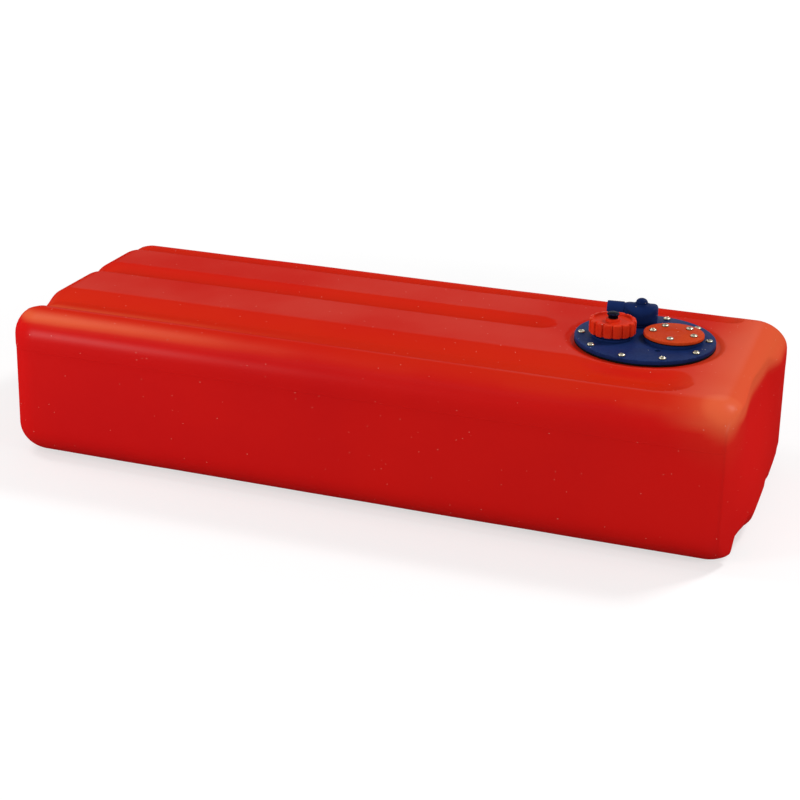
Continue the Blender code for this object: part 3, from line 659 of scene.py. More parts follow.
def painted_highlight_places(tree, skin, normal, x, y, upper):
    """Share of the painted highlight on the right end, on its front corner, and in the band along the front
    edge.
    """
    end = times(tree, smooth_step(tree, x, *end_highlight_reach), upper)
    off_corner = vector_calc(tree, "LENGTH", vector_calc(tree, "SUBTRACT", skin, highlight_corner), out=0)
    corner = calc(tree, "MAXIMUM", smooth_step(tree, off_corner, *corner_highlight_reach),
                  smooth_step(tree, off_corner, *corner_halo))
    facing_y, tilt = axes_of(tree, normal)[1:]
    band = times(tree, smooth_step(tree, tilt, 0.52, 0.72), smooth_step(tree, tilt, 0.76, 0.95, 1.0, 0.0),
                 smooth_step(tree, facing_y, -0.5, -0.1, 1.0, 0.0))
    off_trough = calc(tree, "ABSOLUTE", calc(tree, "SUBTRACT", y, trough_y))
    trough = times(tree, smooth_step(tree, off_trough, 0.0, 0.016, 1.0, 0.0),
                   calc(tree, "GREATER_THAN", tilt, 0.0))
    band = calc(tree, "MAXIMUM", band, times(tree, trough, trough_highlight_amount))
    band = times(tree, band, smooth_step(tree, x, *band_reach))
    return calc(tree, "MAXIMUM", calc(tree, "MAXIMUM", end, corner), band)


# %% From a plain box to the tank's skin
def build_skin():
    """Carries the points of a plain box, centred on the origin, to the tank's skin or inside it."""
    group, give, leave = new_group("tank_skin", "GeometryNodeTree", {
        "Geometry": ("Geometry", None), "Inset": ("Float", 0.0),
        **{key: ("Float", value) for key, value in shell_sizes.items()}}, {"Geometry": "Geometry"})
    skin, normal = round_off(group, give)
    depth, in_groove = sink(group, give, skin, normal)
    inwards = vector_calc(group, "MULTIPLY", normal, same_on_all_axes(group, depth))
    skin = vector_calc(group, "SUBTRACT", skin, inwards)
    x, y, z = axes_of(group, skin)
    behind = calc(group, "ADD", behind_full_length(group, give, y, z), give["Inset"])
    wall_x = calc(group, "SUBTRACT", times(group, give["Length"], 0.5), behind)
    x = calc(group, "SMOOTH_MIN", x, wall_x, end_blend)
    upper = smooth_step(group, axes_of(group, normal)[2], 0.12, 0.5)
    marks = {"rub": edge_highlight_share(group, normal, x, upper),
             "painted_highlight": painted_highlight_places(group, skin, normal, x, y, upper), "sunk": in_groove}
    marked = give["Geometry"]
    for label, share in marks.items():
        marked = put(group, "GeometryNodeStoreNamedAttribute", marked, None, label, share)
    lifted = calc(group, "ADD", z, times(group, give["Height"], 0.5))
    moved = put(group, "GeometryNodeSetPosition", marked, None, put(
        group, "ShaderNodeCombineXYZ", x, y, lifted))
    group.links.new(moved, leave.inputs[0])
    return group


skin_group = build_skin()
print("group", skin_group.name, "nodes", len(skin_group.nodes))

# %% [markdown]
# ## The shell's two skins
# The tank is hollow, so the same tree runs twice: on a fine box for the outside, and on a coarse one,
# set in by the wall's thickness and turned inside out, for the inside that nobody sees closely. The
# outer box has its points crowded to the ends, where the shape bends the most. Both get the round
# opening under the flange, and a short tube joins them there.

# %% Tank shell: outer skin, inner skin and the opening under the flange
opening_radius = 0.073
lip_level = seat_level - 0.0035


def crowd_to_ends(tree, box, give):
    """Moves the points of a box along X, nearer to its ends."""
    along = calc(tree, "DIVIDE", axes_of(tree, put(tree, "GeometryNodeInputPosition"))[0], give["Length"])
    drawn = times(tree, calc(tree, "POWER", times(tree, along, 2.0), 3.0), 0.5)
    shift = times(tree, calc(tree, "SUBTRACT", along, drawn), times(
        tree, give["Length"], give["End Crowding"]))
    return put(tree, "GeometryNodeSetPosition", box, None, None, put(tree, "ShaderNodeCombineXYZ", shift))


def join(tree, *pieces):
    node = tree.nodes.new("GeometryNodeJoinGeometry")
    for piece in pieces:
        tree.links.new(piece, node.inputs[0])
    return node.outputs[0]


def build_shell():
    group, give, leave = new_group("tank_shell", "GeometryNodeTree", {
        **{key: ("Float", value) for key, value in shell_sizes.items()},
        "Cells Along": ("Int", 240), "Cells Across": ("Int", 130), "Cells Up": ("Int", 32),
        "End Crowding": ("Float", 0.3), "Opening Radius": ("Float", opening_radius),
        "Material": ("Material", None)}, {"Geometry": "Geometry"})
    size = put(group, "ShaderNodeCombineXYZ", give["Length"], give["Width"], give["Height"])
    sizes = {key: give[key] for key in shell_sizes}
    fine = put(group, "GeometryNodeMeshCube", size, give["Cells Along"], give["Cells Across"],
               give["Cells Up"])
    outer = use_group(group, skin_group, dict(sizes, Geometry=crowd_to_ends(group, fine, give)))
    coarse = put(group, "GeometryNodeMeshCube", size, 60, 26, 12)
    inner = use_group(group, skin_group, dict(sizes, Geometry=coarse, Inset=give["Wall"]))
    both = join(group, put(group, "GeometryNodeFlipFaces", inner), outer)
    x, y, z = axes_of(group, put(group, "GeometryNodeInputPosition"))
    in_hole = calc(group, "LESS_THAN", from_flange_axis(group, x, y), give["Opening Radius"])
    high = calc(group, "GREATER_THAN", z, times(group, give["Height"], 0.5))
    cut = put(group, "GeometryNodeDeleteGeometry", both, times(group, in_hole, high), domain="FACE")
    lip = put(group, "GeometryNodeMeshCylinder", 48, 1, give["Opening Radius"], give["Wall"],
              fill_type="NONE")
    lip = put(group, "GeometryNodeSetPosition", put(group, "GeometryNodeFlipFaces", lip), None, None, (
        flange_centre.x, flange_centre.y, lip_level))
    smooth = put(group, "GeometryNodeSetShadeSmooth", join(group, lip, cut))
    return end_tree(group, smooth, give["Material"], leave)


shell = bake_nodes("shell_skin", build_shell(), dict(
    shell_sizes, **{"Opening Radius": opening_radius, "Material": red}))
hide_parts("tank_shell")
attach(shell, "root")
shell_box = np.array([v.co for v in shell.data.vertices])
print("shell box", shell_box.min(0).round(4), shell_box.max(0).round(4))

# %% [markdown]
# ## Turned pieces
# The plate, the disc, the knob, the bolt and the cap are all round. Each is drawn as half of its
# section, a list of corners with the radius of each rounding, and is spun about its axis. Spinning
# by hand in code, instead of with a modifier, leaves the radius free to change with the angle, which
# gives the cap its flutes and the neck its thread.


# %% Helpers for turned pieces
def rounded(corners, steps=4):
    """Half section of (radius, height) pairs; a third number rounds that corner by so much."""
    outline = []
    for i, corner in enumerate(corners):
        here = Vector(corner[:2])
        if len(corner) < 3:
            outline.append(tuple(here))
            continue
        back = Vector(corners[i - 1][:2]) - here
        ahead = Vector(corners[(i + 1) % len(corners)][:2]) - here
        half = back.angle(ahead) / 2
        reach = min(corner[2] / math.tan(half), 0.48 * back.length, 0.48 * ahead.length)
        radius = reach * math.tan(half)
        centre = here + (back.normalized() + ahead.normalized()).normalized() * (radius / math.sin(half))
        start = here + back.normalized() * reach - centre
        stop = here + ahead.normalized() * reach - centre
        first = math.atan2(start.y, start.x)
        sweep = (math.atan2(stop.y, stop.x) - first + math.pi) % math.tau - math.pi
        for k in range(steps + 1):
            angle = first + sweep * k / steps
            outline.append((centre.x + radius * math.cos(angle), centre.y + radius * math.sin(angle)))
    return outline


def spin(outline, steps, centre, shape=None):
    """Spins a half section about an upright axis; `shape` may move a point by angle and height."""
    bm = bmesh.new()
    rings = []
    for radius, height in outline:
        ring = []
        for k in range(steps if radius > 1e-6 else 1):
            angle = math.tau * k / steps
            r, z = shape(radius, height, angle) if shape else (radius, height)
            ring.append(bm.verts.new((centre.x + r * math.cos(angle), centre.y + r * math.sin(angle), z)))
        rings.append(ring)
    pairs = list(zip(rings, rings[1:]))
    if len(rings[0]) > 1:
        pairs.append((rings[-1], rings[0]))
    for low, high in pairs:
        for k in range(steps):
            n = (k + 1) % steps
            corners = [low[k % len(low)], low[n % len(low)], high[n % len(high)], high[k % len(high)]]
            corners = list(dict.fromkeys(corners))
            if len(corners) > 2:
                bm.faces.new(corners)
    return bm


def close_mesh(name, bm, sharp_deg=35):
    """Merges doubles, turns the faces outwards and makes a smooth object of it."""
    bmesh.ops.remove_doubles(bm, verts=bm.verts, dist=0.000005)
    bmesh.ops.recalc_face_normals(bm, faces=bm.faces)
    mesh = bpy.data.meshes.new(name)
    bm.to_mesh(mesh)
    bm.free()
    mesh.shade_smooth()
    mesh.set_sharp_from_angle(angle=math.radians(sharp_deg))
    made = bpy.data.objects.new(name, mesh)
    bpy.context.scene.collection.objects.link(made)
    return made


def carve(piece, steps, sharp_deg=35):
    """Joins and cuts a piece with helper solids, given as (operation, solid) pairs, and drops them."""
    for operation, solid in steps:
        boolean = piece.modifiers.new(solid.name, "BOOLEAN")
        boolean.operation, boolean.solver, boolean.object = operation, "EXACT", solid
    seen = bpy.context.evaluated_depsgraph_get()
    mesh = bpy.data.meshes.new_from_object(piece.evaluated_get(seen))
    piece.modifiers.clear()
    piece.data = mesh
    mesh.name = piece.name
    for operation, solid in steps:
        bpy.data.objects.remove(solid)
    mesh.shade_smooth()
    mesh.set_sharp_from_angle(angle=math.radians(sharp_deg))
    return piece


def store_share(piece, label, rule):
    """Stores a share from 0 to 1 on each point of a piece, for its material to read."""
    stored = piece.data.attributes.new(label, "FLOAT", "POINT")
    stored.data.foreach_set("value", [min(max(rule(v.co), 0.0), 1.0) for v in piece.data.vertices])


def place_piece(piece, body, slot, *replaced):
    piece.data.materials.clear()
    piece.data.materials.append(slot_finish[slot])
    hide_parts(*replaced)
    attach(piece, body)
    print(piece.name, "faces", len(piece.data.polygons), "rides on", body)


def node_centre(name):
    low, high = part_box(name)
    return (low + high) / 2


def ring_wear_and_highlight(axis, radius, reach, above=0.0):
    """Rule for edges paler by wear and painted highlight: 1 on a ring of that radius, 0 past its reach and
    below a level.
    """
    def rule(point):
        if point.z <= above:
            return 0.0
        return 1.0 - abs(math.hypot(point.x - axis.x, point.y - axis.y) - radius) / reach
    return rule


# %% Levels and axes, from the solids
gap = 0.0003
plate_low, plate_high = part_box("flange_plate")
plate_radius = (plate_high.x - plate_low.x) / 2
plate_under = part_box("flange_gasket")[1].z + gap
filler_axis = node_centre("filler_cap")
sender_axis = node_centre("blanking_disc")
elbow_axis = node_centre("pivot_bolt")
screw_radius = 0.0028
flange_screws = [f"flange_screw_{i:02d}" for i in range(1, 11)]
sender_screws = [f"sender_screw_{i:02d}" for i in range(1, 6)]
cap_low, cap_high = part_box("filler_cap")
cap_top = cap_low.z + 0.018
disc_low, disc_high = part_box("blanking_disc")
boss_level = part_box("sender_gasket")[0].z - gap
neck_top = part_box("cap_seal")[0].z - gap
thread_pitch = 0.004
print("plate", round(plate_under, 4), round(plate_level, 4), "cap", round(cap_low.z, 4), round(cap_top, 4))

# %% [markdown]
# ## Flange plate
# The plate is one nylon moulding: a flat round flange, a threaded neck for the filler cap, a low
# boss for the level sender, a ring that the elbow turns on, and under it a socket for the pick-up
# tube. Such a piece is easiest as turned solids that are joined and then bored, as a maker would
# turn and drill it. The neck's thread has the same rise as the cap's turn.

# %% Neck of the flange plate
neck_radius, collar_radius = 0.0228, 0.0262
collar_level = plate_level + 0.0025
thread_depth = 0.0011
thread_fade = 0.0015


def thread_ridge(height, angle, base):
    """Share of a thread's ridge at a height and angle, with steep sides and a narrow crest."""
    phase = ((height - base) / thread_pitch - angle / math.tau) % 1.0
    return min(max(2.4 * (1.0 - abs(phase - 0.5) * 2.0) - 0.7, 0.0), 1.0)


def upright_rod(name, radius, low, high, centre, steps=32):
    return close_mesh(name, spin([(0, high), (radius, high), (radius, low), (0, low)], steps, centre))


def build_neck():
    """Neck with a collar at its foot and a thread that fades out at both ends."""
    foot, collar = plate_level - 0.003, collar_level
    thread_top = neck_top - 0.0007
    wall = [neck_top - 0.0008 - k * 0.0004 for k in range(1, 27)]
    outline = rounded([(0, neck_top), (neck_radius, neck_top, 0.0006),
                       *[(neck_radius, level) for level in wall if level > collar + 0.0006],
                       (neck_radius, collar), (collar_radius, collar, 0.0010), (collar_radius, foot),
                       (0, foot)])

    def shape(radius, height, angle):
        if abs(radius - neck_radius) > 1e-6 or height > thread_top:
            return radius, height
        fade = min((thread_top - height) / thread_fade, (height - collar) / thread_fade, 1.0)
        return radius + thread_depth * max(fade, 0.0) * thread_ridge(height, angle, cap_low.z), height

    return close_mesh("neck", spin(outline, 96, filler_axis, shape), 50)


print("neck", round(plate_level, 4), "to", round(neck_top, 4))

# %% Sizes of the flange plate
boss_radius, ring_radius, socket_radius = 0.0380, 0.0232, 0.0145
ring_top = plate_level + 0.0020
socket_low = plate_under - 0.026
filler_bore, sender_bore = 0.0190, 0.0205
spigot_bore, channel_bore, tube_bore = 0.0118, 0.0058, 0.0073
dimple_place = Vector((0.3555, -0.0300, 0))
print("socket from", round(plate_under, 4), "down to", round(socket_low, 4))


# %% Flange plate
def plate_additions():
    """Neck, boss, elbow ring and socket, each standing a little way inside the plate."""
    foot = plate_level - 0.003
    boss = rounded([(0, boss_level), (boss_radius, boss_level, 0.0006), (boss_radius, foot), (0, foot)])
    ring = rounded([(0, ring_top), (ring_radius, ring_top, 0.0007), (ring_radius, foot), (0, foot)])
    socket = rounded([(0, foot), (socket_radius, foot), (socket_radius, socket_low, 0.0008),
                      (0, socket_low)])
    return [build_neck(), close_mesh("sender_boss", spin(boss, 96, sender_axis)),
            close_mesh("elbow_ring", spin(ring, 64, elbow_axis)),
            close_mesh("socket", spin(socket, 48, elbow_axis))]


def plate_cuts():
    """Bores for the filler, the sender, the elbow and the screws, and a small blind dimple."""
    top, low = neck_top + 0.004, plate_under - 0.004
    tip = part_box("swivel_elbow")[0].z - gap
    tube_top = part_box("pickup_tube")[1].z + gap
    stepped = [(0, top), (spigot_bore, top), (spigot_bore, tip), (channel_bore, tip),
               (channel_bore, tube_top), (tube_bore, tube_top), (tube_bore, socket_low - 0.004),
               (0, socket_low - 0.004)]
    dimple = [(0, plate_level + 0.002), (0.0070, plate_level + 0.002), (0.0052, plate_level - 0.0001),
              (0.0038, plate_level - 0.0008), (0.0032, plate_level - 0.0034), (0, plate_level - 0.0034)]
    cuts = [upright_rod("filler_bore", filler_bore, low, top, filler_axis, 64),
            upright_rod("sender_bore", sender_bore, low, top, sender_axis, 64),
            close_mesh("elbow_bore", spin(stepped, 64, elbow_axis)),
            close_mesh("dimple", spin(dimple, 32, dimple_place))]
    starts = [(name, low) for name in flange_screws]
    starts += [(name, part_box(name)[0].z - gap) for name in sender_screws]
    return cuts + [upright_rod("hole", screw_radius, start, top, node_centre(name), 16)
                   for name, start in starts]


rim = rounded([(0, plate_level), (plate_radius, plate_level, 0.0012), (plate_radius, plate_under, 0.0009),
               (0, plate_under)])
plate = close_mesh("flange_plate_moulding", spin(rim, 128, flange_centre))
cuts = [("DIFFERENCE", solid) for solid in plate_cuts()]
carve(plate, [("UNION", solid) for solid in plate_additions()] + cuts)
store_share(plate, "rub", ring_wear_and_highlight(flange_centre, plate_radius - 0.0006, 0.0012, plate_level - 0.0015))
place_piece(plate, "root", "blue_nylon", "flange_plate")

# %% [markdown]
# ## Gaskets
# Under the plate and under the disc lies a ring of black rubber. The screws press it flat, so that
# its edge bulges a little and shows as a black line all round. The rings are turned like the plate,
# but fill the whole gap and have a round outer edge.


# %% Gaskets
gasket_edge = 0.0011


def screw_holes(screws, low, high):
    return [("DIFFERENCE", upright_rod("hole", screw_radius, low, high, node_centre(screw), 16))
            for screw in screws]


def build_gasket(name, inner, outer, low, high, centre, screws):
    outline = rounded([(inner, high), (outer, high, gasket_edge), (outer, low, gasket_edge), (inner, low)])
    ring = close_mesh(name, spin(outline, 128, centre))
    return carve(ring, screw_holes(screws, low - 0.01, high + 0.01))


disc_under = disc_low.z + 0.0040
flange_ring = build_gasket("flange_gasket_ring", opening_radius, plate_radius + 0.0002,
                           seat_level - 0.0002, plate_under - 0.0001, flange_centre, flange_screws)
place_piece(flange_ring, "root", "black_rubber", "flange_gasket")
sender_ring = build_gasket("sender_gasket_ring", 0.0207, 0.0389, boss_level + 0.0001,
                           disc_under - 0.0001, sender_axis, sender_screws)
place_piece(sender_ring, "root", "black_rubber", "sender_gasket")

# %% [markdown]
# ## Filler cap
# The cap is turned by hand, so its skirt has fifteen wide lobes with narrow grooves between them.
# The top is dished, with a raised rim, and a boss in the middle holds the vent knob. The section is
# spun as before, and the radius falls in each groove. Inside runs the same thread as on the neck,
# cut a little deeper, so that the two never touch while the cap turns.

# %% Flutes and thread of the filler cap
cap_radius = 0.0305
cap_bore = 0.0242
cap_lobes = 15
flute_half_deg, flute_wall_deg, first_flute_deg = 4.3, 2.2, -78.0
flute_depth, flute_inner = 0.0021, 0.0262
lobe_crown = 0.0004
cap_thread_depth = 0.0013


def flute_share(angle):
    """1 on the floor of a flute, 0 on the lobes; and how far off the flute, as a share of the pitch."""
    pitch = 360 / cap_lobes
    off = (math.degrees(angle) - first_flute_deg + pitch / 2) % pitch - pitch / 2
    rise = min(max((flute_half_deg - abs(off)) / flute_wall_deg, 0.0), 1.0)
    return rise * rise * (3 - 2 * rise), abs(off) / (pitch / 2)


def cap_shape(radius, height, angle):
    if radius > flute_inner:
        share, off_flute = flute_share(angle)
        weight = min((radius - flute_inner) / 0.0018, 1.0)
        return radius - weight * (flute_depth * share + lobe_crown * (1 - off_flute) ** 2), height
    if abs(radius - cap_bore) < 1e-6:
        low, high = cap_low.z + 0.0006, cap_low.z + 0.0106
        fade = max(min((height - low) / 0.001, (high - height) / 0.001, 1.0), 0.0)
        ridge = thread_ridge(height, angle, cap_low.z + thread_pitch / 2)
        return radius + cap_thread_depth * fade * ridge, height
    return radius, height


print("lobes", cap_lobes, "of", 360 / cap_lobes, "degrees")


# %% Filler cap
def build_cap():
    base, top, floor, boss = cap_low.z, cap_top, cap_top - 0.003, cap_high.z
    ceiling = floor - 0.0035
    outline = rounded([(cap_bore, base), (cap_radius - 0.0002, base, 0.0008), (cap_radius, top, 0.0030),
                       (0.0255, top, 0.0009), (0.0249, floor, 0.0010), (0.0097, floor, 0.0008),
                       (0.0090, boss, 0.0007), (0.0041, boss), (0.0041, ceiling), (cap_bore, ceiling)], 5)
    wall = [base + 0.0004 * k for k in range(1, 28)]
    outline += [(cap_bore, level) for level in reversed(wall)]
    return close_mesh("filler_cap_moulding", spin(outline, 360, filler_axis, cap_shape), 45)


shoulder_wear_and_highlight = ring_wear_and_highlight(filler_axis, 0.0290, 0.0016, cap_low.z + 0.014)


def cap_wear_and_highlight(point):
    """Wear and painted highlight on the cap's shoulder, and less of it round the foot of the skirt."""
    radius = math.hypot(point.x - filler_axis.x, point.y - filler_axis.y)
    foot = 1.0 - (point.z - cap_low.z) / 0.0012 if radius > 0.027 else 0.0
    return max(shoulder_wear_and_highlight(point), foot * 0.7)


cap = build_cap()
store_share(cap, "rub", cap_wear_and_highlight)
place_piece(cap, "cap", "orange_plastic", "filler_cap")
cap.data.materials[0] = cap_orange

# %% [markdown]
# ## Vent knob, blanking disc and pivot bolt
# Three small turned pieces. The knob is a mushroom with a thin, slightly domed head, and its stem is
# hollow, because the tank breathes through it. The disc closes the opening for a level sender. The
# bolt's domed head holds the elbow down, and its hollow shank lets the fuel pass.


# %% Vent knob
def build_knob():
    low, high = (corner.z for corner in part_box("vent_knob"))
    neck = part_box("vent_washer")[1].z + gap
    outline = rounded([(0, high), (0.0030, high - 0.00015), (0.0060, high - 0.0007),
                       (0.0081, high - 0.0017, 0.0010), (0.0081, high - 0.0030, 0.0006),
                       (0.0066, high - 0.0040, 0.0005), (0.0064, neck, 0.0003), (0.0038, neck),
                       (0.0038, low, 0.0005), (0.0012, low), (0.0012, neck - 0.0003),
                       (0, neck - 0.0003)])
    return close_mesh("vent_knob_moulding", spin(outline, 64, filler_axis), 50)


knob = build_knob()
store_share(knob, "rub", ring_wear_and_highlight(filler_axis, 0.0079, 0.0009))
place_piece(knob, "vent", "blue_nylon", "vent_knob")
# the knob wears the near-black copy of the blue nylon: painted shade
knob.data.materials[0] = blue_painted_shade


# %% Blanking disc
def build_disc():
    top, low = disc_high.z, disc_low.z
    outline = rounded([(0, top - 0.0004), (0.0105, top - 0.0004, 0.003), (0.0125, top, 0.003),
                       (0.0390, top, 0.0011), (0.0390, disc_under, 0.0004), (0.0202, disc_under),
                       (0.0202, low, 0.0005), (0, low)])
    disc = close_mesh("blanking_disc_moulding", spin(outline, 128, sender_axis), 40)
    return carve(disc, screw_holes(sender_screws, low - 0.01, top + 0.01), 40)


disc = build_disc()
store_share(disc, "rub", ring_wear_and_highlight(sender_axis, 0.0384, 0.0011, disc_high.z - 0.0014))
place_piece(disc, "root", "orange_plastic", "blanking_disc")


# %% Pivot bolt
def build_bolt():
    """Bolt with a domed head that lies in the elbow's seat, and a hollow shank."""
    low, high = (corner.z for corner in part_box("pivot_bolt"))
    head_radius, dome = 0.0078, 0.0058
    seat, rim = high - 0.0074, high - dome
    arc = [math.radians(90 * k / 12) for k in range(13)]
    outline = [(head_radius * math.sin(a), rim + dome * math.cos(a)) for a in arc]
    outline += rounded([(head_radius, rim - 0.0004), (head_radius, seat, 0.0003), (0.0055, seat),
                        (0.0055, low, 0.0005), (0.0032, low), (0.0032, seat - 0.0065),
                        (0, seat - 0.0065)])
    return close_mesh("pivot_bolt_moulding", spin(outline, 48, elbow_axis), 50)


bolt = build_bolt()
place_piece(bolt, "root", "blue_nylon", "pivot_bolt")

# %% [markdown]
# ## Swivel elbow
# The elbow is one smooth moulding: a drum that flows into a level tube, with a slightly wider collar
# for the hose. Boxes and tubes joined by a Boolean would leave a hard crease. Instead the shape is
# written as a distance, which says how far any point is inside or outside it. Two distances joined
# by a smooth minimum melt into each other, and the volume is then turned into a mesh.


# %% Distances for the elbow
def rod_distance(tree, across, along, radius, low, high, edge):
    """Distance to a rod with rounded edges, from the distance off its axis and the place along it."""
    middle, half = (low + high) / 2, (high - low) / 2
    side = calc(tree, "SUBTRACT", across, radius - edge)
    end = calc(tree, "SUBTRACT", calc(tree, "ABSOLUTE", calc(tree, "SUBTRACT", along, middle)), half - edge)
    outside = vector_calc(tree, "LENGTH", put(tree, "ShaderNodeCombineXYZ", calc(
        tree, "MAXIMUM", side, 0.0), calc(tree, "MAXIMUM", end, 0.0)), out=0)
    inside = calc(tree, "MINIMUM", calc(tree, "MAXIMUM", side, end), 0.0)
    return calc(tree, "SUBTRACT", calc(tree, "ADD", outside, inside), edge)


# %% Sizes of the elbow
drum_height = 0.0240
tube_level = 0.0134
tube_end = 0.0450
drum_reach = 0.0221
elbow_rods = {
    "drum": (0.0220, -0.02, drum_height, 0.0055),
    "bolt seat": (0.0096, 0.010, drum_height, 0.0006),
    "spigot": (0.0115, -0.0100, 0.004, 0.0006),
    "spigot core": (0.0095, -0.0100, 0.004, 0.0006),
    "ring groove": (0.02, -0.0066, -0.0044, 0.0),
    "bolt bore": (0.0080, -0.02, 0.0175, 0.0005),
    "shank bore": (0.0058, -0.02, 0.03, 0.0),
    "tube": (0.0097, -0.01, tube_end - 0.001, 0.0006),
    "hose collar": (0.0111, 0.0225, tube_end, 0.0011),
    "tube bore": (0.0072, 0.0, 0.06, 0.0),
}
elbow_low, elbow_high = Vector((-0.0235, -0.0235, -0.0115)), Vector((0.0465, 0.0235, 0.0250))
print("rods: radius, start, stop and rounding", elbow_rods)


# %% Swivel elbow
def elbow_distance(tree, give):
    """Distance to the elbow, with its drum's axis upright at the origin and its tube along +X."""
    x, y, z = axes_of(tree, put(tree, "GeometryNodeInputPosition"))
    off_drum = vector_calc(tree, "LENGTH", put(tree, "ShaderNodeCombineXYZ", x, y), out=0)
    off_tube = vector_calc(tree, "LENGTH", put(
        tree, "ShaderNodeCombineXYZ", y, calc(tree, "SUBTRACT", z, tube_level)), out=0)

    def upright(label):
        return rod_distance(tree, off_drum, z, *elbow_rods[label])

    def level(label):
        return rod_distance(tree, off_tube, x, *elbow_rods[label])

    def without(body, hollow):
        return calc(tree, "MAXIMUM", body, times(tree, hollow, -1.0))

    above_foot = calc(tree, "MAXIMUM", calc(tree, "SUBTRACT", z, give["Arch Foot"]), 0.0)
    rise = calc(tree, "DIVIDE", above_foot, calc(tree, "SUBTRACT", drum_height, give["Arch Foot"]))
    arch = vector_calc(tree, "LENGTH", put(
        tree, "ShaderNodeCombineXYZ", calc(tree, "DIVIDE", y, drum_reach), rise), out=0)
    arch = times(tree, calc(tree, "SUBTRACT", arch, 1.0), 0.015)
    body = calc(tree, "SMOOTH_MAX", upright("drum"), arch, 0.003)
    body = calc(tree, "SMOOTH_MIN", body, level("tube"), give["Blend"])
    body = calc(tree, "SMOOTH_MIN", body, upright("bolt seat"), 0.0040)
    body = calc(tree, "MAXIMUM", body, times(tree, z, -1.0))
    body = calc(tree, "SMOOTH_MIN", body, level("hose collar"), 0.0006)
    spigot = without(upright("spigot"), upright("ring groove"))
    spigot = calc(tree, "MINIMUM", upright("spigot core"), spigot)
    body = calc(tree, "MINIMUM", body, spigot)
    for hollow in (upright("bolt bore"), upright("shank bore"), level("tube bore")):
        body = without(body, hollow)
    return body


def build_elbow():
    """Elbow as a volume turned into a mesh, then turned to its heading and set in its place."""
    group, give, leave = new_group("swivel_elbow", "GeometryNodeTree", {
        "Cell": ("Float", 0.0005), "Blend": ("Float", 0.005), "Arch Foot": ("Float", 0.0065),
        "Heading": ("Float", 0.0), "Place": ("Vector", (0, 0, 0)),
        "Material": ("Material", None)}, {"Geometry": "Geometry"})
    inside = times(group, elbow_distance(group, give), -1.0)
    spans = [calc(group, "DIVIDE", span, give["Cell"]) for span in elbow_high - elbow_low]
    volume = put(group, "GeometryNodeVolumeCube", inside, -0.01, elbow_low, elbow_high, *spans)
    mesh = put(group, "GeometryNodeVolumeToMesh", volume, 0.0, 0.0)
    turn = put(group, "ShaderNodeCombineXYZ", 0.0, 0.0, give["Heading"])
    placed = put(group, "GeometryNodeTransform", mesh, give["Place"], turn)
    smooth = put(group, "GeometryNodeSetShadeSmooth", placed)
    return end_tree(group, smooth, give["Material"], leave)


elbow_foot = plate_level + 0.0023
elbow = bake_nodes("swivel_elbow_moulding", build_elbow(), {
    "Cell": 0.0005, "Heading": math.radians(187.0), "Place": (elbow_axis.x, elbow_axis.y, elbow_foot),
    "Material": blue})
elbow_box = np.array([v.co for v in elbow.data.vertices])
print("elbow box", elbow_box.min(0).round(4), elbow_box.max(0).round(4))
place_piece(elbow, "elbow", "blue_nylon", "swivel_elbow")

# %% [markdown]
# ## Screws
# Fifteen equal pan-head screws hold the flange and the disc. One screw is modelled with a cross
# recess, cut by two tapered wedges. A geometry tree then sets a copy on each place that the solids
# give, each turned by its own amount, because nobody stops every screw at the same angle.

# %% One pan-head screw
screw_head_radius, screw_head_height = 0.0046, 0.0026
shank_crest, shank_root, shank_pitch = 0.0023, 0.0019, 0.0008


def wedge(name, turn):
    """Tapered bar that cuts one arm of the cross recess."""
    top, low = screw_head_height + 0.0005, screw_head_height - 0.0021
    around = ((-1, -1), (1, -1), (1, 1), (-1, 1))
    bm = bmesh.new()
    corners = []
    for level, long, wide in ((low, 0.0013, 0.0007), (top, 0.0036, 0.00145)):
        corners.append([bm.verts.new((sx * long, sy * wide, level)) for sx, sy in around])
    bm.faces.new(corners[0])
    bm.faces.new(corners[1])
    for k in range(4):
        n = (k + 1) % 4
        bm.faces.new((corners[0][k], corners[0][n], corners[1][n], corners[1][k]))
    bmesh.ops.rotate(bm, verts=bm.verts, matrix=Matrix.Rotation(turn, 3, "Z"))
    return close_mesh(name, bm)


def screw_painted_shade(point):
    """Painted shade in the cross recess and round the foot of the head."""
    off_axis = math.hypot(point.x, point.y)
    if off_axis > 0.0040:
        return (0.0007 - point.z) / 0.0003
    if 0 < point.z and off_axis < 0.0032:
        return (screw_head_height - 0.0003 - 12 * off_axis ** 2 - point.z) / 0.0002
    return 0.0


def build_screw(name, length):
    """Screw with its head's underside at height 0; the shank carries plain ridges for its thread."""
    head, rim, widest = screw_head_height, 0.0011, screw_head_radius * 0.97
    arc = [math.radians(78 * k / 7) for k in range(8)]
    fall = 1 - math.cos(arc[-1])
    outline = [(widest * math.sin(a) / math.sin(arc[-1]),
                rim + (head - rim) * (math.cos(a) - math.cos(arc[-1])) / fall) for a in arc]
    outline += rounded([(screw_head_radius, rim - 0.0003, 0.0003), (screw_head_radius, 0, 0.0002),
                        (shank_crest, 0)], 2)
    for k in range(int(length / shank_pitch) - 1):
        outline += [(shank_crest, -shank_pitch * (k + 0.5)), (shank_root, -shank_pitch * (k + 1))]
    outline += [(0.0012, -length), (0, -length)]
    screw = close_mesh(name, spin(outline, 32, Vector((0, 0, 0))))
    arms = [wedge("arm_one", 0.0), wedge("arm_two", math.pi / 2)]
    carve(screw, [("DIFFERENCE", arm) for arm in arms], 30)
    store_share(screw, "grime", screw_painted_shade)
    return screw


print("screw head", screw_head_radius * 2, "across,", screw_head_height, "high")


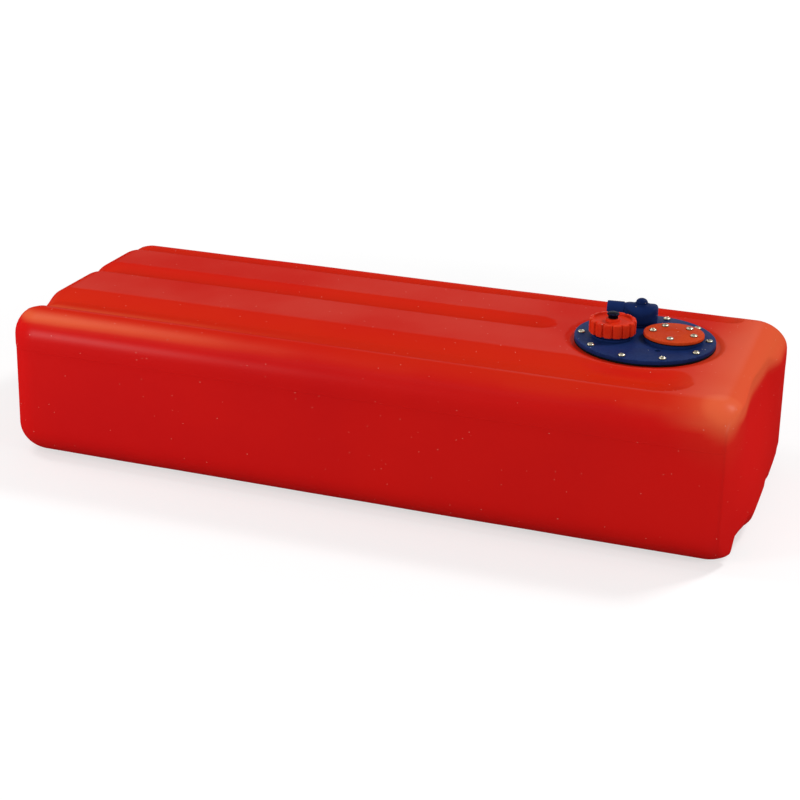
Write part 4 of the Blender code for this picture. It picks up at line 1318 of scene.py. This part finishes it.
# %% Screws set on their places
def build_screw_set():
    group, give, leave = new_group("screws_in_place", "GeometryNodeTree", {
        "Geometry": ("Geometry", None), "Screw": ("Object", None), "Size": ("Float", 1.0),
        "Seed": ("Int", 4), "Material": ("Material", None)}, {"Geometry": "Geometry"})
    pattern = put(group, "GeometryNodeObjectInfo", give["Screw"], out=4)
    turn = put(group, "FunctionNodeRandomValue", 0.0, math.tau, None, give["Seed"], data_type="FLOAT")
    turn = put(group, "ShaderNodeCombineXYZ", 0.0, 0.0, turn)
    placed = put(group, "GeometryNodeInstanceOnPoints", give["Geometry"], None, pattern, None, None, turn,
                 same_on_all_axes(group, give["Size"]))
    return end_tree(group, placed, give["Material"], leave)


screw_set = build_screw_set()


def set_screws(name, solids, seed):
    low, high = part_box(solids[0])
    pattern = build_screw(name + "_pattern", high.z - screw_head_height - low.z)
    places = bpy.data.meshes.new(name + "_places")
    under_head = Vector((0, 0, high.z - screw_head_height))
    points = [node_centre(solid).xy.to_3d() + under_head for solid in solids]
    places.from_pydata(points, [], [])
    made = bake_nodes(name, screw_set, {"Screw": pattern, "Seed": seed, "Material": steel}, places)
    bpy.data.objects.remove(pattern)
    place_piece(made, "root", "stainless_steel", *solids)


set_screws("flange_screws", flange_screws, 4)
set_screws("sender_screws", sender_screws, 9)

# %% [markdown]
# ## Floor, background and lamps
# The tank was photographed against plain white, with large soft lamps above it. The floor keeps the
# tank's soft shadow, and reads as white elsewhere, because the camera sees a pale glow on it.


# %% Floor and world
def seen_or_mirrored(tree):
    """1 for what the camera sees straight, in a gloss or through glass; 0 for light on the tank."""
    path = tree.nodes.new("ShaderNodeLightPath")
    return calc(tree, "MAXIMUM", path.outputs["Is Camera Ray"], calc(
        tree, "MAXIMUM", path.outputs["Is Glossy Ray"], path.outputs["Is Transmission Ray"]))


def floor_material():
    """Pale floor that glows white far from the tank and keeps a soft shadow near it."""
    made, tree, shader = new_material("studio_floor", Roughness=0.9, Specular_IOR_Level=0.0)
    shader.inputs["Base Color"].default_value = (0.45, 0.45, 0.45, 1)
    far = vector_calc(tree, "LENGTH", put(tree, "ShaderNodeTexCoord", out=3), out=0)
    strength = smooth_step(tree, far, 0.7, 2.0, 0.60, 1.0)
    glow = put(tree, "ShaderNodeEmission", (1, 1, 1, 1), times(tree, seen_or_mirrored(tree), strength))
    both = put(tree, "ShaderNodeAddShader", shader.outputs[0], glow)
    tree.links.new(both, tree.nodes["Material Output"].inputs["Surface"])
    return made


def build_floor():
    bm = bmesh.new()
    bmesh.ops.create_grid(bm, x_segments=2, y_segments=2, size=12)
    mesh = bpy.data.meshes.new("floor")
    bm.to_mesh(mesh)
    bm.free()
    floor = bpy.data.objects.new("floor", mesh)
    bpy.context.scene.collection.objects.link(floor)
    floor.location.z = -0.0005
    mesh.materials.append(floor_material())
    return floor


def build_world():
    """White where it is seen, and a third as bright where it lights the tank."""
    world = bpy.data.worlds.new("studio")
    bpy.context.scene.world = world
    world.use_nodes = True
    tree = world.node_tree
    strength = calc(tree, "MULTIPLY_ADD", seen_or_mirrored(tree), 0.7, 0.3)
    tree.nodes["Background"].inputs["Color"].default_value = (1, 1, 1, 1)
    tree.links.new(strength, tree.nodes["Background"].inputs["Strength"])
    return world


print("stage", build_floor().name, "world", build_world().name)

# %% Lamps
# Each lamp: its place, the point it aims at, its width and height, and its power in watts.
lamps = {
    "overhead": ((-1.45, -0.2, 1.9), (-0.3, 0, 0.1), (0.6, 0.9), 10),
    "left_front": ((-1.5, -1.9, 0.65), (-0.2, 0, 0.1), (0.6, 0.6), 24),
    "front_top": ((-0.9, -1.7, 2.0), (-0.1, -0.1, 0.2), (1.6, 0.5), 4),
    "right_back": ((1.5, 1.2, 2.4), (0.1, 0, 0.15), (0.5, 0.5), 36),
    "right_end": ((1.35, -0.56, 0.5), (0.5, -0.1, 0.1), (0.3, 0.3), 3.9),
}
for name, (place, aim, size, power) in lamps.items():
    data = bpy.data.lights.new(name, "AREA")
    data.shape = "RECTANGLE"
    data.size, data.size_y = size
    data.energy = power
    lamp = bpy.data.objects.new(name, data)
    bpy.context.scene.collection.objects.link(lamp)
    lamp.location = place
    lamp.rotation_euler = (Vector(aim) - Vector(place)).to_track_quat("-Z", "Y").to_euler()
print("lamps", list(lamps))

# %% Finishes on the solids that stay
for part in frame["record"]["subparts"]:
    mesh = nodes[part["node"]].data
    mesh.materials.clear()
    mesh.materials.append(slot_finish[part["material_slot"]])

# %% View transform
bpy.context.scene.view_settings.view_transform = "Standard"
